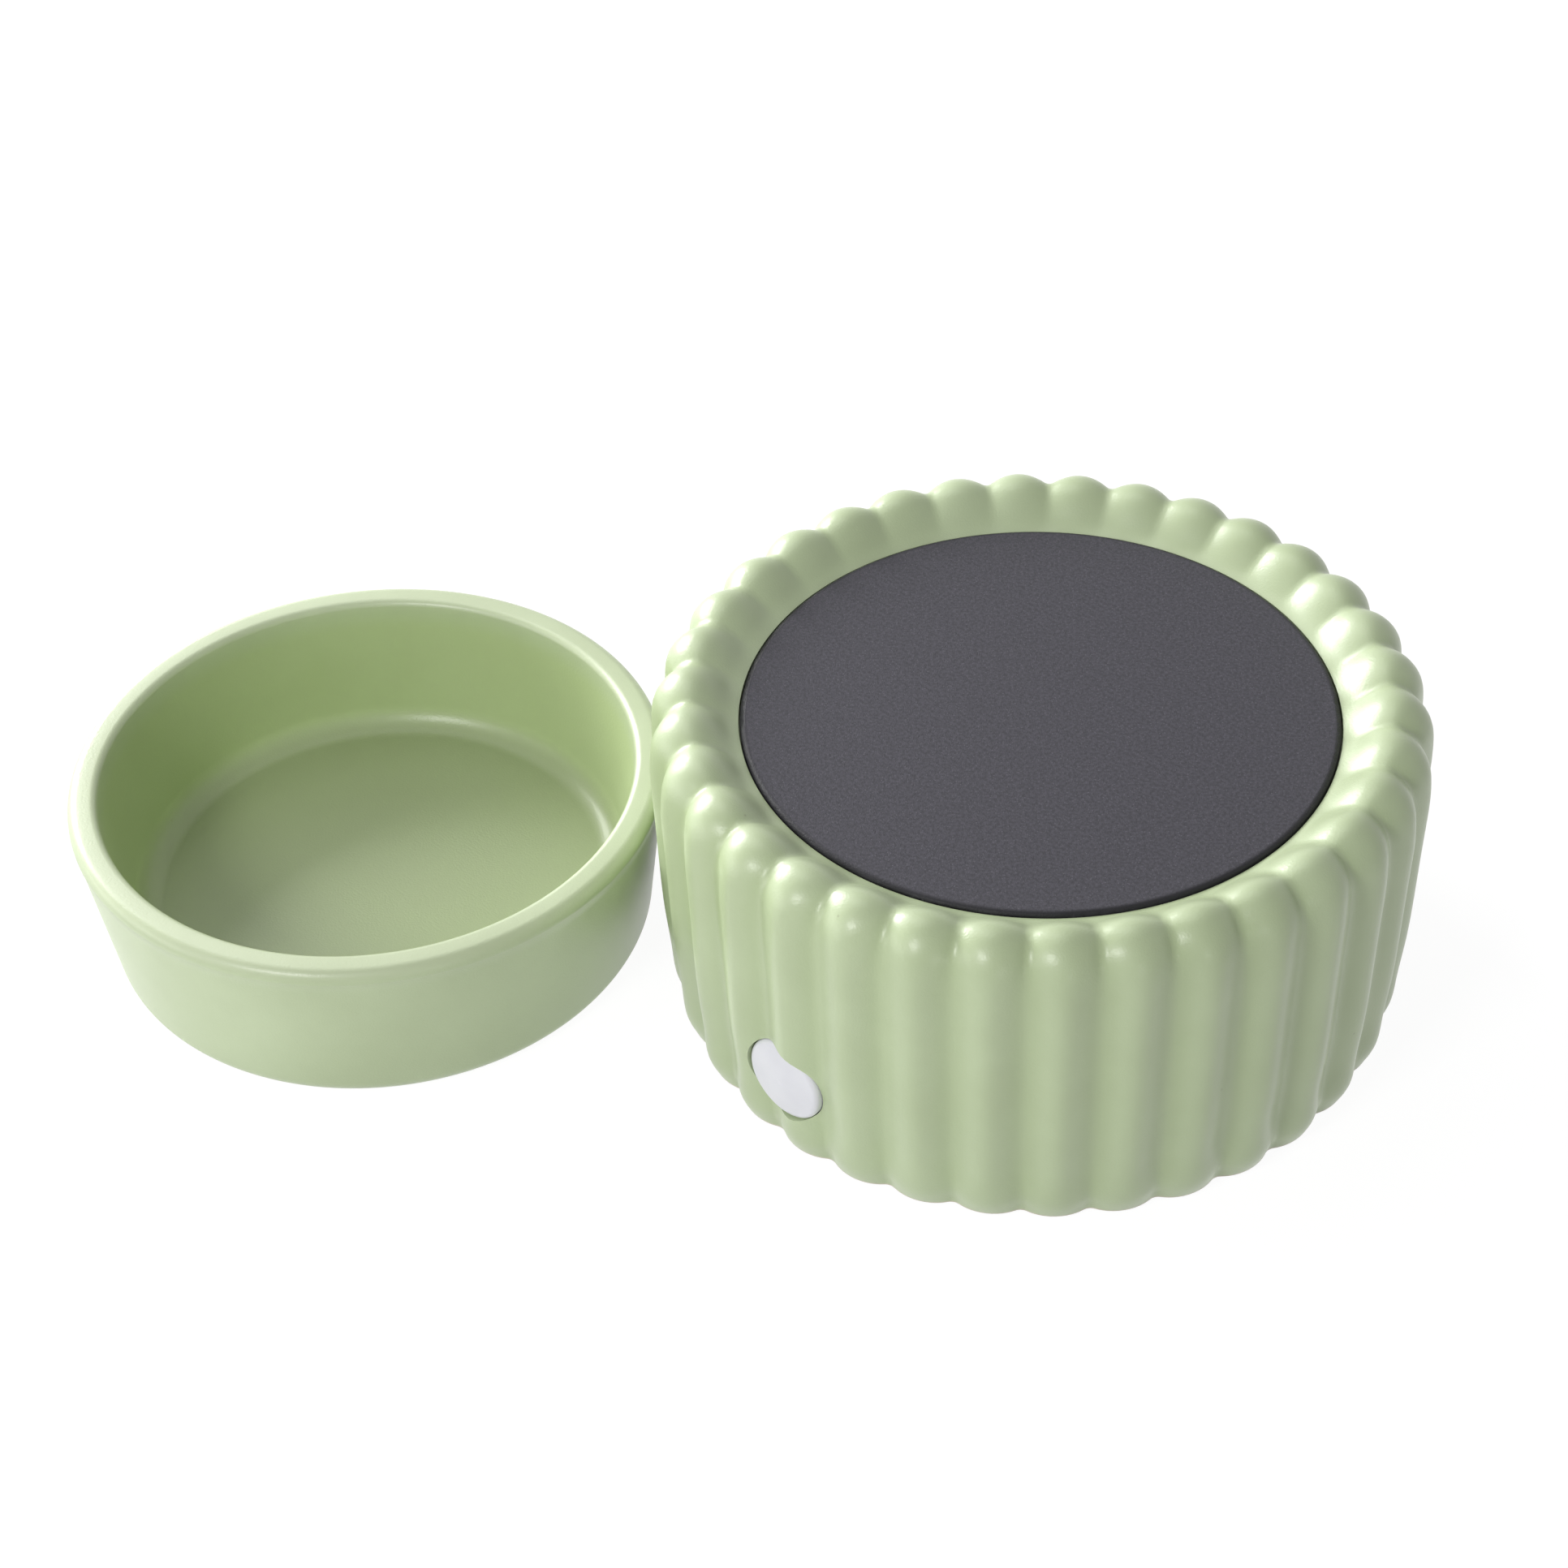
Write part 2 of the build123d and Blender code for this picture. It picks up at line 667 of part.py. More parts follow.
# Control board. Mains parts stand along its rear edge, outlets along its front edge.
rear_row_y = board_mid_y + BOARD_Y / 2 - TERMINAL_SIZE[1] / 2 - PART_SPACING
middle_row_top = rear_row_y - TERMINAL_SIZE[1] / 2 - PART_SPACING
relay_x = RELAY_SIZE[0] / 2 + PART_SPACING / 2
relay_y = middle_row_top - RELAY_SIZE[1] / 2
film_cap_x = -BOARD_X / 2 + FILM_CAP_SIZE[0] / 2 + PART_SPACING
film_cap_y = middle_row_top - FILM_CAP_SIZE[1] / 2
can_x = film_cap_x + FILM_CAP_SIZE[0] / 2 + PART_SPACING + CAN_R
supply_x = -TERMINAL_SIZE[0] / 2 - PART_SPACING
board_fuse_x = BOARD_FUSE_R + PART_SPACING
outlet_x = lead_place()[0]
outlet_y = board_mid_y - BOARD_Y / 2 + TERMINAL_SIZE[1] / 2 + PART_SPACING + SMALL_HEAD_R
header_x = supply_x
header_y = board_mid_y - BOARD_Y / 2 + HEADER_SIZE[1] / 2 + PART_SPACING


def component(size, x, y):
    return block(size[0], size[1], board_top, board_top + size[2], x, y)


def make_control_board():
    board = block(BOARD_X, BOARD_Y, board_under, board_top, 0.0, board_mid_y)
    board = round_corners(board, BOARD_EDGE / 2)
    for x, y in board_corners():
        board -= drill(SMALL_HOLE_R, board_under, board_top, x, y)
    return board


def make_board_screws():
    screws = []
    for x, y in board_corners():
        head = slotted_head(SMALL_HEAD_R, SMALL_HEAD_T, board_top, x, y)
        screws.append(head + disc(SMALL_SCREW_R, board_top - BOARD_SCREW_LENGTH, board_top, x, y))
    return group(screws)


def make_relay():
    return round_corners(component(RELAY_SIZE, relay_x, relay_y))


def make_film_capacitor():
    return round_corners(component(FILM_CAP_SIZE, film_cap_x, film_cap_y))


def make_smoothing_capacitor():
    can = disc(CAN_R, board_top, board_top + CAN_H, can_x, relay_y)
    groove = board_top + CAN_GROOVE_UP
    outer = CAN_R + OVERRUN
    cut = disc(outer, groove, groove + CAN_GROOVE_WIDTH, can_x, relay_y)
    return can - (cut - drill(CAN_R - CAN_GROOVE, groove, groove + CAN_GROOVE_WIDTH, can_x, relay_y))


def make_board_fuse():
    body = disc(BOARD_FUSE_R, board_top, board_top + BOARD_FUSE_H, board_fuse_x, rear_row_y)
    upper = body.edges().filter_by(GeomType.CIRCLE).sort_by(Axis.Z)[-1]
    return fillet(upper, CORNER_ROUND)


def make_supply_terminal():
    body = round_corners(component(TERMINAL_SIZE, supply_x, rear_row_y))
    top = board_top + TERMINAL_SIZE[2]
    for side in (-1, 1):
        pole = supply_x + side * TERMINAL_PITCH / 2
        body -= disc(TERMINAL_SCREW_R, top - TERMINAL_SCREW_SUNK, top + OVERRUN, pole, rear_row_y)
    return body


def make_heater_terminal():
    return round_corners(component(TERMINAL_SIZE, outlet_x, outlet_y))


def make_switch_header():
    return round_corners(component(HEADER_SIZE, header_x, header_y))


# Push button. Its axis runs along Y; distances from the middle of the base towards the
# button are positive numbers above and become negative y values here.
def make_button_cap():
    """Cap with a slightly domed face and a skirt, on the stem that slides in the guide."""
    crown_r = (BUTTON_R ** 2 + BUTTON_CROWN ** 2) / (2 * BUTTON_CROWN)
    half_drop = crown_r - math.sqrt(crown_r ** 2 - BUTTON_R ** 2 / 4)
    skirt_end = button_face - BUTTON_SKIRT
    dome = ThreePointArc(
        (0.0, 0.0, button_face), (BUTTON_R / 2, 0.0, button_face - half_drop),
        (BUTTON_R, 0.0, button_face - BUTTON_CROWN),
    )
    side = Line(dome @ 1, (BUTTON_R, 0.0, skirt_end))
    back = Line(side @ 1, (0.0, 0.0, skirt_end))
    outline = Wire([edge.edge() for edge in (dome, side, back, Line(back @ 1, dome @ 0))])
    cap = Pos(0.0, 0.0, BUTTON_Z) * Rot(X=90) * revolve(make_face(outline), Axis.Z)
    rims = [edge for edge in cap.edges().filter_by(GeomType.CIRCLE) if edge.is_closed]
    cap = fillet(ShapeList(rims).sort_by(Axis.Y)[0], BUTTON_EDGE_ROUND)
    face_back = -button_face + BUTTON_CROWN + BUTTON_WALL
    cap -= rod_y(BUTTON_R - BUTTON_WALL, face_back, -skirt_end + OVERRUN, 0.0, BUTTON_Z)
    stem = rod_y(STEM_R, face_back - BUTTON_WALL / 2, -stem_end, 0.0, BUTTON_Z)
    groove = -guide_back + CLIP_RING_GAP
    cut = rod_y(STEM_R + OVERRUN, groove, groove + CLIP_RING_T, 0.0, BUTTON_Z)
    cut -= rod_y(STEM_R - CLIP_RING_T, groove, groove + CLIP_RING_T, 0.0, BUTTON_Z)
    return cap + (stem - cut)


def make_retaining_clip():
    start = -guide_back + CLIP_RING_GAP
    end = start + CLIP_RING_T
    inner_r = STEM_R - CLIP_RING_T + THREAD_GAP
    clip = rod_y(CLIP_RING_R, start, end, 0.0, BUTTON_Z)
    clip -= rod_y(inner_r, start - OVERRUN, end + OVERRUN, 0.0, BUTTON_Z)
    mouth = Box(2 * inner_r, 4 * CLIP_RING_T, 2 * CLIP_RING_R)
    return clip - Pos(0.0, start, BUTTON_Z - CLIP_RING_R) * mouth


def make_button_spring():
    """Sleeve of the space that the coiled return spring fills."""
    seat = -guide_face
    cap_side = -button_face + BUTTON_CROWN + BUTTON_WALL
    sleeve = rod_y(SPRING_R + SPRING_WIRE / 2, cap_side, seat, 0.0, BUTTON_Z)
    return sleeve - rod_y(SPRING_R - SPRING_WIRE / 2, cap_side - OVERRUN, seat + OVERRUN, 0.0, BUTTON_Z)


def make_button_guide():
    """Upright plate with a guide tube, two posts for the switch board and a screwed foot."""
    top = BUTTON_Z + GUIDE_ABOVE
    guide = block(GUIDE_WIDTH, GUIDE_T, guide_foot_under, top, 0.0, -guide_face + GUIDE_T / 2)
    bore_r = STEM_R + STEM_GAP
    tube_end = -guide_face - GUIDE_TUBE
    guide += rod_y(bore_r + GUIDE_TUBE_WALL, tube_end, -guide_face, 0.0, BUTTON_Z)
    foot_top = guide_foot_under + GUIDE_FOOT_T
    guide += block(GUIDE_WIDTH, GUIDE_FOOT, guide_foot_under, foot_top, 0.0, -guide_back + GUIDE_FOOT / 2)
    for x, y in guide_screw_places():
        guide -= drill(SMALL_HOLE_R, guide_foot_under, foot_top, x, y)
    for side in (-1, 1):
        x = side * SWITCH_POST_X
        guide += rod_y(SWITCH_POST_R, -guide_back, -switch_board_front, x, BUTTON_Z)
        bore_end = -switch_board_front - SWITCH_SCREW_LENGTH
        guide -= rod_y(POST_BORE_R, bore_end, -switch_board_front + OVERRUN, x, BUTTON_Z)
    return guide - rod_y(bore_r, tube_end - OVERRUN, -guide_back + OVERRUN, 0.0, BUTTON_Z)


def make_guide_screws():
    screws = []
    seat = guide_foot_under + GUIDE_FOOT_T
    for x, y in guide_screw_places():
        head = slotted_head(SMALL_HEAD_R, SMALL_HEAD_T, seat, x, y)
        screws.append(head + disc(SMALL_SCREW_R, cover_top + THREAD_GAP, seat, x, y))
    return group(screws)


def make_push_switch():
    middle = -switch_board_front - SWITCH_DEPTH / 2
    body = Pos(0.0, middle, BUTTON_Z) * Box(SWITCH_SIZE, SWITCH_DEPTH, SWITCH_SIZE)
    body = fillet(body.edges().filter_by(Axis.Y), CORNER_ROUND)
    bore_end = -switch_front + PLUNGER_IN + BUTTON_TRAVEL + PLUNGER_BORE_GAP
    return body - rod_y(PLUNGER_R + PLUNGER_BORE_GAP, -switch_front - OVERRUN, bore_end, 0.0, BUTTON_Z)


def make_switch_plunger():
    return rod_y(PLUNGER_R, -plunger_tip, -switch_front + PLUNGER_IN, 0.0, BUTTON_Z)


def make_switch_board():
    middle = -switch_board_front + SWITCH_BOARD_T / 2
    board = Pos(0.0, middle, BUTTON_Z) * Box(SWITCH_BOARD_X, SWITCH_BOARD_T, SWITCH_BOARD_Z)
    for side in (-1, 1):
        front = -switch_board_front - OVERRUN
        back = -switch_board_back + OVERRUN
        board -= rod_y(SMALL_HOLE_R, front, back, side * SWITCH_POST_X, BUTTON_Z)
    return board


def make_switch_screws():
    screws = []
    seat = -switch_board_back
    for side in (-1, 1):
        x = side * SWITCH_POST_X
        head = rod_y(SMALL_HEAD_R, seat, seat + SMALL_HEAD_T, x, BUTTON_Z)
        screws.append(head + rod_y(SMALL_SCREW_R, seat - SWITCH_SCREW_LENGTH, seat, x, BUTTON_Z))
    return group(screws)


# Rubber gland that the supply cord passes through
def make_cord_gland():
    tube_r = GLAND_HOLE_R - GLAND_FIT
    outside = gland_seat + GLAND_COLLAR_T
    barb = cavity_r - GLAND_BARB_GAP
    tail = barb - GLAND_BARB_T - GLAND_TAIL
    profile = [
        (GLAND_BORE_R, tail), (tube_r, tail), (GLAND_BARB_R, barb - GLAND_BARB_T),
        (GLAND_BARB_R, barb), (tube_r, barb), (tube_r, gland_seat), (GLAND_COLLAR_R, gland_seat),
        (GLAND_COLLAR_R, outside - GLAND_ROUND), (GLAND_COLLAR_R - GLAND_ROUND, outside),
        (GLAND_BORE_R, outside),
    ]
    return Pos(0.0, 0.0, GLAND_Z) * Rot(X=-90) * revolved(profile)


# Inner wiring, each lead whole along its own route
def bend_radii(points, bend_r):
    """Radius of each bend, limited by the shorter of the two runs that meet in it."""
    corners = [Vector(*point) for point in points]
    radii = []
    for before, corner, after in zip(corners, corners[1:], corners[2:]):
        run_in = corner - before
        run_out = after - corner
        half_turn = math.radians(run_in.get_angle(run_out)) / 2
        shorter = min(run_in.length, run_out.length)
        radii.append(min(bend_r, LEAD_RUN_SHARE * shorter / math.tan(half_turn)))
    return radii


def lead_along(points, bend_r, wire_r):
    path = FilletPolyline(*points, radius=bend_radii(points, bend_r))
    section = Plane(origin=path @ 0, z_dir=path % 0) * Circle(wire_r)
    print(f"  lead radius {wire_r}, bends of radius {bend_r}, length {path.length:.1f}")
    return sweep(section, path=path)


def make_heater_leads():
    """The heater's circuit: heater, fuse, thermostat and the two poles of the outlet."""
    x, y = lead_place()
    outlet_top = board_top + TERMINAL_SIZE[2]
    tab_z = clamp_under - THERMOSTAT_CAP_T - THERMOSTAT_BODY_T - JUMPER_TAB_UP
    tab_face = TAB_SPREAD + TAB_T / 2
    fuse_z = clamp_under - CLIP_GAP - FUSE_R
    pin_end = FUSE_LENGTH / 2 + FUSE_PIN

    def down_to_outlet(lead_x):
        return [
            (lead_x, y, outlet_top + LEAD_BEND_ABOVE), (lead_x, outlet_y, outlet_top + LEAD_BEND_BELOW),
            (lead_x, outlet_y, outlet_top),
        ]

    direct = [(x - LEAD_SPREAD, y, heater_under)] + down_to_outlet(x - LEAD_SPREAD)
    over = x + LEAD_SPREAD
    switched = [(tab_face, 0.0, tab_z), (over, 0.0, tab_z), (over, y, tab_z)] + down_to_outlet(over)
    far_x, far_y = fuse_place(pin_end)
    turn_x, turn_y = fuse_place(pin_end + JUMPER_RUN)
    to_tab = [
        (far_x, far_y, fuse_z), (turn_x, turn_y, fuse_z), (turn_x, turn_y, tab_z),
        (-tab_face, turn_y, tab_z),
    ]
    near_x, near_y = fuse_place(-pin_end)
    hole_x, hole_y = fuse_hole_place()
    to_heater = [(near_x, near_y, fuse_z), (hole_x, hole_y, fuse_z), (hole_x, hole_y, heater_under)]
    return group([
        lead_along(direct, LEAD_BEND_R, LEAD_R), lead_along(switched, LEAD_BEND_R, LEAD_R),
        lead_along(to_tab, JUMPER_BEND_R, JUMPER_R), lead_along(to_heater, JUMPER_TIGHT_R, JUMPER_R),
    ])


def make_switch_leads():
    """Three leads from the back of the switch board to the header of the control board."""
    start_y = -switch_board_back
    end_y = header_y - HEADER_SIZE[1] / 2
    start_z = BUTTON_Z - SWITCH_SIZE / 2
    end_z = board_top + HEADER_SIZE[2] / 2
    first, second = [start_y + (end_y - start_y) * share for share in SWITCH_LEAD_BEND_SHARES]
    leads = []
    for index in (-1, 0, 1):
        x = header_x + index * SWITCH_LEAD_PITCH
        route = [(x, start_y, start_z), (x, first, start_z), (x, second, end_z), (x, end_y, end_z)]
        leads.append(lead_along(route, SWITCH_LEAD_BEND_R, SWITCH_LEAD_R))
    return group(leads)


# Wax dish, a body of revolution that stands beside the base
def arc(centre, radius, start_deg, end_deg):
    points = []
    for angle in (start_deg, (start_deg + end_deg) / 2, end_deg):
        out, up = polar(radius, angle)
        points.append((centre[0] + out, 0.0, centre[1] + up))
    return ThreePointArc(*points)


def make_wax_dish():
    outer_lean = math.radians(DISH_OUTER_LEAN_DEG)
    inner_lean = math.radians(DISH_INNER_LEAN_DEG)
    lip_centre = (DISH_RIM_R - DISH_LIP_OUTER_ROUND, DISH_HEIGHT - DISH_LIP_OUTER_ROUND)
    lip_outer = arc(lip_centre, DISH_LIP_OUTER_ROUND, 0.0, 90.0)
    inner_centre = (lip_centre[0] - DISH_LIP_FLAT, DISH_HEIGHT - DISH_LIP_INNER_ROUND)
    lip_inner = arc(inner_centre, DISH_LIP_INNER_ROUND, 90.0, 180.0 - DISH_INNER_LEAN_DEG)
    # The outer wall leans from under the lip to the rounded heel.
    wall_r = DISH_RIM_R - DISH_LIP_STEP
    wall_z = lip_centre[1] - DISH_LIP_SKIRT - DISH_LIP_STEP
    heel_end_z = DISH_HEEL_ROUND * (1 - math.sin(outer_lean))
    heel_end_r = wall_r - (wall_z - heel_end_z) * math.tan(outer_lean)
    heel_centre = (heel_end_r - DISH_HEEL_ROUND * math.cos(outer_lean), DISH_HEEL_ROUND)
    heel = arc(heel_centre, DISH_HEEL_ROUND, -90.0, -DISH_OUTER_LEAN_DEG)
    # The inner wall leans from the lip to the round that meets the floor.
    inner_r = inner_centre[0] - DISH_LIP_INNER_ROUND * math.cos(inner_lean)
    inner_z = inner_centre[1] + DISH_LIP_INNER_ROUND * math.sin(inner_lean)
    cove_end_z = DISH_FLOOR_T + DISH_FLOOR_ROUND * (1 - math.sin(inner_lean))
    cove_end_r = inner_r - (inner_z - cove_end_z) * math.tan(inner_lean)
    cove_centre = (cove_end_r - DISH_FLOOR_ROUND * math.cos(inner_lean), DISH_FLOOR_T + DISH_FLOOR_ROUND)
    cove = arc(cove_centre, DISH_FLOOR_ROUND, -DISH_INNER_LEAN_DEG, -90.0)
    floor_centre = (0.0, 0.0, DISH_FLOOR_T)
    under_lip = (DISH_RIM_R, 0.0, lip_centre[1] - DISH_LIP_SKIRT)
    wall_start = (wall_r, 0.0, wall_z)
    edges = [
        Line((0.0, 0.0, 0.0), heel @ 0), heel, Line(heel @ 1, wall_start), Line(wall_start, under_lip),
        Line(under_lip, lip_outer @ 0), lip_outer, Line(lip_outer @ 1, lip_inner @ 0), lip_inner,
        Line(lip_inner @ 1, cove @ 0), cove, Line(cove @ 1, floor_centre),
        Line(floor_centre, (0.0, 0.0, 0.0)),
    ]
    outline = Wire([edge.edge() for edge in edges])
    x, y = polar(CREST_R + DISH_RIM_R + DISH_APART, DISH_BEARING_DEG)
    return Pos(x, y, 0.0) * revolve(make_face(outline), Axis.Z)


PARTS = {
    "ceramic_base": make_ceramic_base,
    "heat_plate": make_heat_plate,
    "plate_studs": make_plate_studs,
    "plate_gasket": make_plate_gasket,
    "upper_mica": make_upper_mica,
    "heater_disc": make_heater_disc,
    "lower_mica": make_lower_mica,
    "clamp_plate": make_clamp_plate,
    "stud_nuts": make_stud_nuts,
    "thermostat": make_thermostat,
    "thermostat_bracket": make_thermostat_bracket,
    "thermal_fuse": make_thermal_fuse,
    "fuse_clip": make_fuse_clip,
    "clip_screw": make_clip_screw,
    "upper_standoffs": make_upper_standoffs,
    "heat_shield": make_heat_shield,
    "lower_standoffs": make_lower_standoffs,
    "bottom_cover": make_bottom_cover,
    "cover_screws": make_cover_screws,
    "rubber_feet": make_rubber_feet,
    "control_board": make_control_board,
    "board_screws": make_board_screws,
    "relay": make_relay,
    "film_capacitor": make_film_capacitor,
    "smoothing_capacitor": make_smoothing_capacitor,
    "board_fuse": make_board_fuse,
    "supply_terminal": make_supply_terminal,
    "heater_terminal": make_heater_terminal,
    "switch_header": make_switch_header,
    "button_cap": make_button_cap,
    "retaining_clip": make_retaining_clip,
    "button_spring": make_button_spring,
    "button_guide": make_button_guide,
    "guide_screws": make_guide_screws,
    "push_switch": make_push_switch,
    "switch_plunger": make_switch_plunger,
    "switch_board": make_switch_board,
    "switch_screws": make_switch_screws,
    "cord_gland": make_cord_gland,
    "heater_leads": make_heater_leads,
    "switch_leads": make_switch_leads,
    "wax_dish": make_wax_dish,
}

os.makedirs("parts", exist_ok=True)
for name, make in PARTS.items():
    shape = make()
    shape.label = name
    export_step(shape, f"parts/{name}.step")
    print(f"{name}: {len(shape.solids())} solids, {shape.volume:.1f} mm3")
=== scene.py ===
import math
import bpy
import numpy as np
from mathutils import Matrix, Vector


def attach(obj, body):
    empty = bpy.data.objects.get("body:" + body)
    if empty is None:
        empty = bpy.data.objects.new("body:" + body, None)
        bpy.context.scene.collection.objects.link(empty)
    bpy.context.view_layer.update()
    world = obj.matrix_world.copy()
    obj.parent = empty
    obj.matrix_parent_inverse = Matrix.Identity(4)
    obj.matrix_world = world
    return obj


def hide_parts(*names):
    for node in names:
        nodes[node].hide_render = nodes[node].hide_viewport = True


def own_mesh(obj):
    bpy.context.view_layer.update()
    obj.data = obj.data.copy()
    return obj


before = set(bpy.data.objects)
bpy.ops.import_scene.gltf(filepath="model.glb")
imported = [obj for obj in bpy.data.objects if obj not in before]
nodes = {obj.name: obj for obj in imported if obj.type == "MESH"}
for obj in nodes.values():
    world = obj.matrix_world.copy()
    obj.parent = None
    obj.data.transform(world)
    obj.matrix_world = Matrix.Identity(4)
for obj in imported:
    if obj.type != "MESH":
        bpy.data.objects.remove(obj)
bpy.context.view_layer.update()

MM = 0.001

# --- Camera ---------------------------------------------------------------------------------
# Product view from the front right and well above the table, with a medium telephoto lens,
# so that the plate, the button and the inside of the dish all show.
VIEW_PLACE = (0.27117, -0.32793, 0.41063)
VIEW_AZIMUTH_DEG = 45.4
VIEW_DOWN_DEG = 40.954
VIEW_ROLL_DEG = -2.123
LENS_MM = 75.69
SENSOR_MM = 36.0
NEAREST_SEEN = 0.01

camera = bpy.data.objects.new("product_camera", bpy.data.cameras.new("product_camera"))
camera.data.lens = LENS_MM
camera.data.sensor_width = SENSOR_MM
camera.data.clip_start = NEAREST_SEEN
camera.matrix_world = (
    Matrix.Translation(VIEW_PLACE)
    @ Matrix.Rotation(math.radians(VIEW_AZIMUTH_DEG), 4, "Z")
    @ Matrix.Rotation(math.radians(90.0 - VIEW_DOWN_DEG), 4, "X")
    @ Matrix.Rotation(math.radians(VIEW_ROLL_DEG), 4, "Z")
)
bpy.context.scene.collection.objects.link(camera)
bpy.context.scene.camera = camera
bpy.context.scene.view_settings.view_transform = "Standard"


# --- Bottom cover ---------------------------------------------------------------------------
# Injection-moulded ABS disc that closes the body from below, with its fine spark-eroded
# texture. Three screws from below hold it to the brass posts.

# Noise lies mostly near a half, so a surface's two shades stand at these ends of it.
CLOUD_ENDS = (0.35, 0.65)


def linear(shade):
    """A shade written as sRGB hex, as the linear colour that shaders take."""
    parts = [int(shade[i:i + 2], 16) / 255 for i in (1, 3, 5)]
    return [p / 12.92 if p <= 0.04045 else ((p + 0.055) / 1.055) ** 2.4 for p in parts] + [1.0]


def add_node(tree, kind, settings=None, links=None):
    """Adds one node with its settings (options, or values of inputs) and its links."""
    node = tree.nodes.new(kind)
    for key, value in (settings or {}).items():
        if isinstance(key, str) and hasattr(node, key):
            setattr(node, key, value)
        else:
            node.inputs[key].default_value = value
    for key, source in (links or {}).items():
        tree.links.new(source.outputs[0] if hasattr(source, "outputs") else source, node.inputs[key])
    return node


def finish(name, shades, cloud_mm, grain_mm, relief_mm, roughness, spread=0.06, stretch=(1, 1, 1), **gloss):
    """A surface whose tone drifts between its shades, with a fine grain and uneven gloss.

    Sizes are those of the real drift and grain. A grain that is too fine to show, such as lathe or
    draw marks, a mould's texture or sand, is drawn as coarse as it needs to show.
    """
    material = bpy.data.materials.new(name)
    material.use_nodes = True
    tree = material.node_tree
    shader = tree.nodes["Principled BSDF"]
    place = add_node(tree, "ShaderNodeTexCoord").outputs["Object"]
    along = add_node(tree, "ShaderNodeMapping", {"Scale": stretch}, {"Vector": place})
    cloud, grain = (
        add_node(tree, "ShaderNodeTexNoise", {"Scale": 1 / (size * MM), "Detail": detail}, {"Vector": along})
        for size, detail in ((cloud_mm, 3.0), (grain_mm, 2.0))
    )
    ramp = add_node(tree, "ShaderNodeValToRGB", {}, {"Fac": cloud})
    for stop, end, shade in zip(ramp.color_ramp.elements, CLOUD_ENDS, shades):
        stop.position = end
        stop.color = linear(shade)
    uneven = add_node(tree, "ShaderNodeMapRange", {
        "To Min": roughness - spread, "To Max": roughness + spread,
    }, {"Value": grain})
    relief = add_node(tree, "ShaderNodeBump", {
        "Distance": relief_mm * MM, "Strength": 1.0,
    }, {"Height": grain})
    tree.links.new(ramp.outputs["Color"], shader.inputs["Base Color"])
    tree.links.new(uneven.outputs[0], shader.inputs["Roughness"])
    for layer in ("Normal", "Coat Normal"):
        tree.links.new(relief.outputs[0], shader.inputs[layer])
    for key, value in gloss.items():
        shader.inputs[key.replace("_", " ")].default_value = value
    return material


def dress(material, *names):
    """Gives the CAD nodes of these names their finish."""
    for name in names:
        for slot in nodes[name].material_slots:
            slot.material = material


# Moulded ABS: warm off-white, dull, its spark texture just visible from near by.
cover_abs = finish(
    "spark_textured_abs", ("#D9D9D3", "#E2E2DD"), cloud_mm=14.0, grain_mm=0.35, relief_mm=0.03,
    roughness=0.55, IOR=1.53,
)
dress(cover_abs, "bottom_cover")


# --- Rubber feet and cover screws -----------------------------------------------------------
# Four moulded nitrile pads pressed into the cover keep the warmer from sliding. The three
# screws next to them are turned steel with a bright zinc coat.

# Nitrile rubber: near black and dull, with a slightly dusty bloom.
foot_rubber = finish(
    "moulded_nitrile_rubber", ("#19191A", "#242526"), cloud_mm=3.0, grain_mm=0.2, relief_mm=0.02,
    roughness=0.78, IOR=1.52,
)
dress(foot_rubber, "rubber_feet")

# Zinc-plated steel: bright cool grey with a fine turned grain.
zinc_steel = finish(
    "zinc_plated_steel", ("#A9ACB0", "#C2C5C8"), cloud_mm=1.6, grain_mm=0.15, relief_mm=0.004,
    roughness=0.3, stretch=(1, 1, 5), Metallic=1.0,
)
dress(zinc_steel, "cover_screws", "board_screws", "guide_screws", "switch_screws", "clip_screw")


# --- Posts and heat shield ------------------------------------------------------------------
# Hexagonal brass posts carry a pressed aluminium dish that keeps the heat of the plate away
# from the electronics.

# Turned brass: warm yellow metal with faint lathe marks along its height.
turned_brass = finish(
    "turned_brass", ("#C79A4C", "#DDB667"), cloud_mm=2.0, grain_mm=0.12, relief_mm=0.005,
    roughness=0.27, stretch=(1, 1, 6), Metallic=1.0,
)
dress(turned_brass, "lower_standoffs", "upper_standoffs")

# Mill-finish aluminium: pale grey with long straight rolling marks.
rolled_aluminium = finish(
    "mill_finish_aluminium", ("#B9BBBE", "#CED0D2"), cloud_mm=6.0, grain_mm=0.3, relief_mm=0.006,
    roughness=0.36, stretch=(1, 14, 1), Metallic=1.0,
)
dress(rolled_aluminium, "heat_shield", "clamp_plate")


# --- Control board and its components -------------------------------------------------------
# A glass-epoxy board with the relay, capacitors, fuse and terminals that switch the heater,
# screwed on four posts of the cover.

# Solder mask over copper: glossy green, lighter where a track runs beneath it.
solder_mask = finish(
    "green_solder_mask", ("#0E4B2A", "#17663A"), cloud_mm=2.2, grain_mm=0.4, relief_mm=0.01,
    roughness=0.28, spread=0.04, stretch=(1, 3, 1), Coat_Weight=0.3,
)
dress(solder_mask, "control_board", "switch_board")

# PBT relay case: plain blue, matt from its mould.
relay_pbt = finish(
    "moulded_blue_pbt", ("#17437F", "#1E5196"), cloud_mm=5.0, grain_mm=0.25, relief_mm=0.02,
    roughness=0.5, IOR=1.55,
)
dress(relay_pbt, "relay")

# Epoxy-filled box of the film capacitor: glossy mustard yellow.
film_box = finish(
    "glossy_film_capacitor_box", ("#B8901F", "#CDA42C"), cloud_mm=4.0, grain_mm=0.3, relief_mm=0.01,
    roughness=0.22, IOR=1.55,
)
dress(film_box, "film_capacitor")

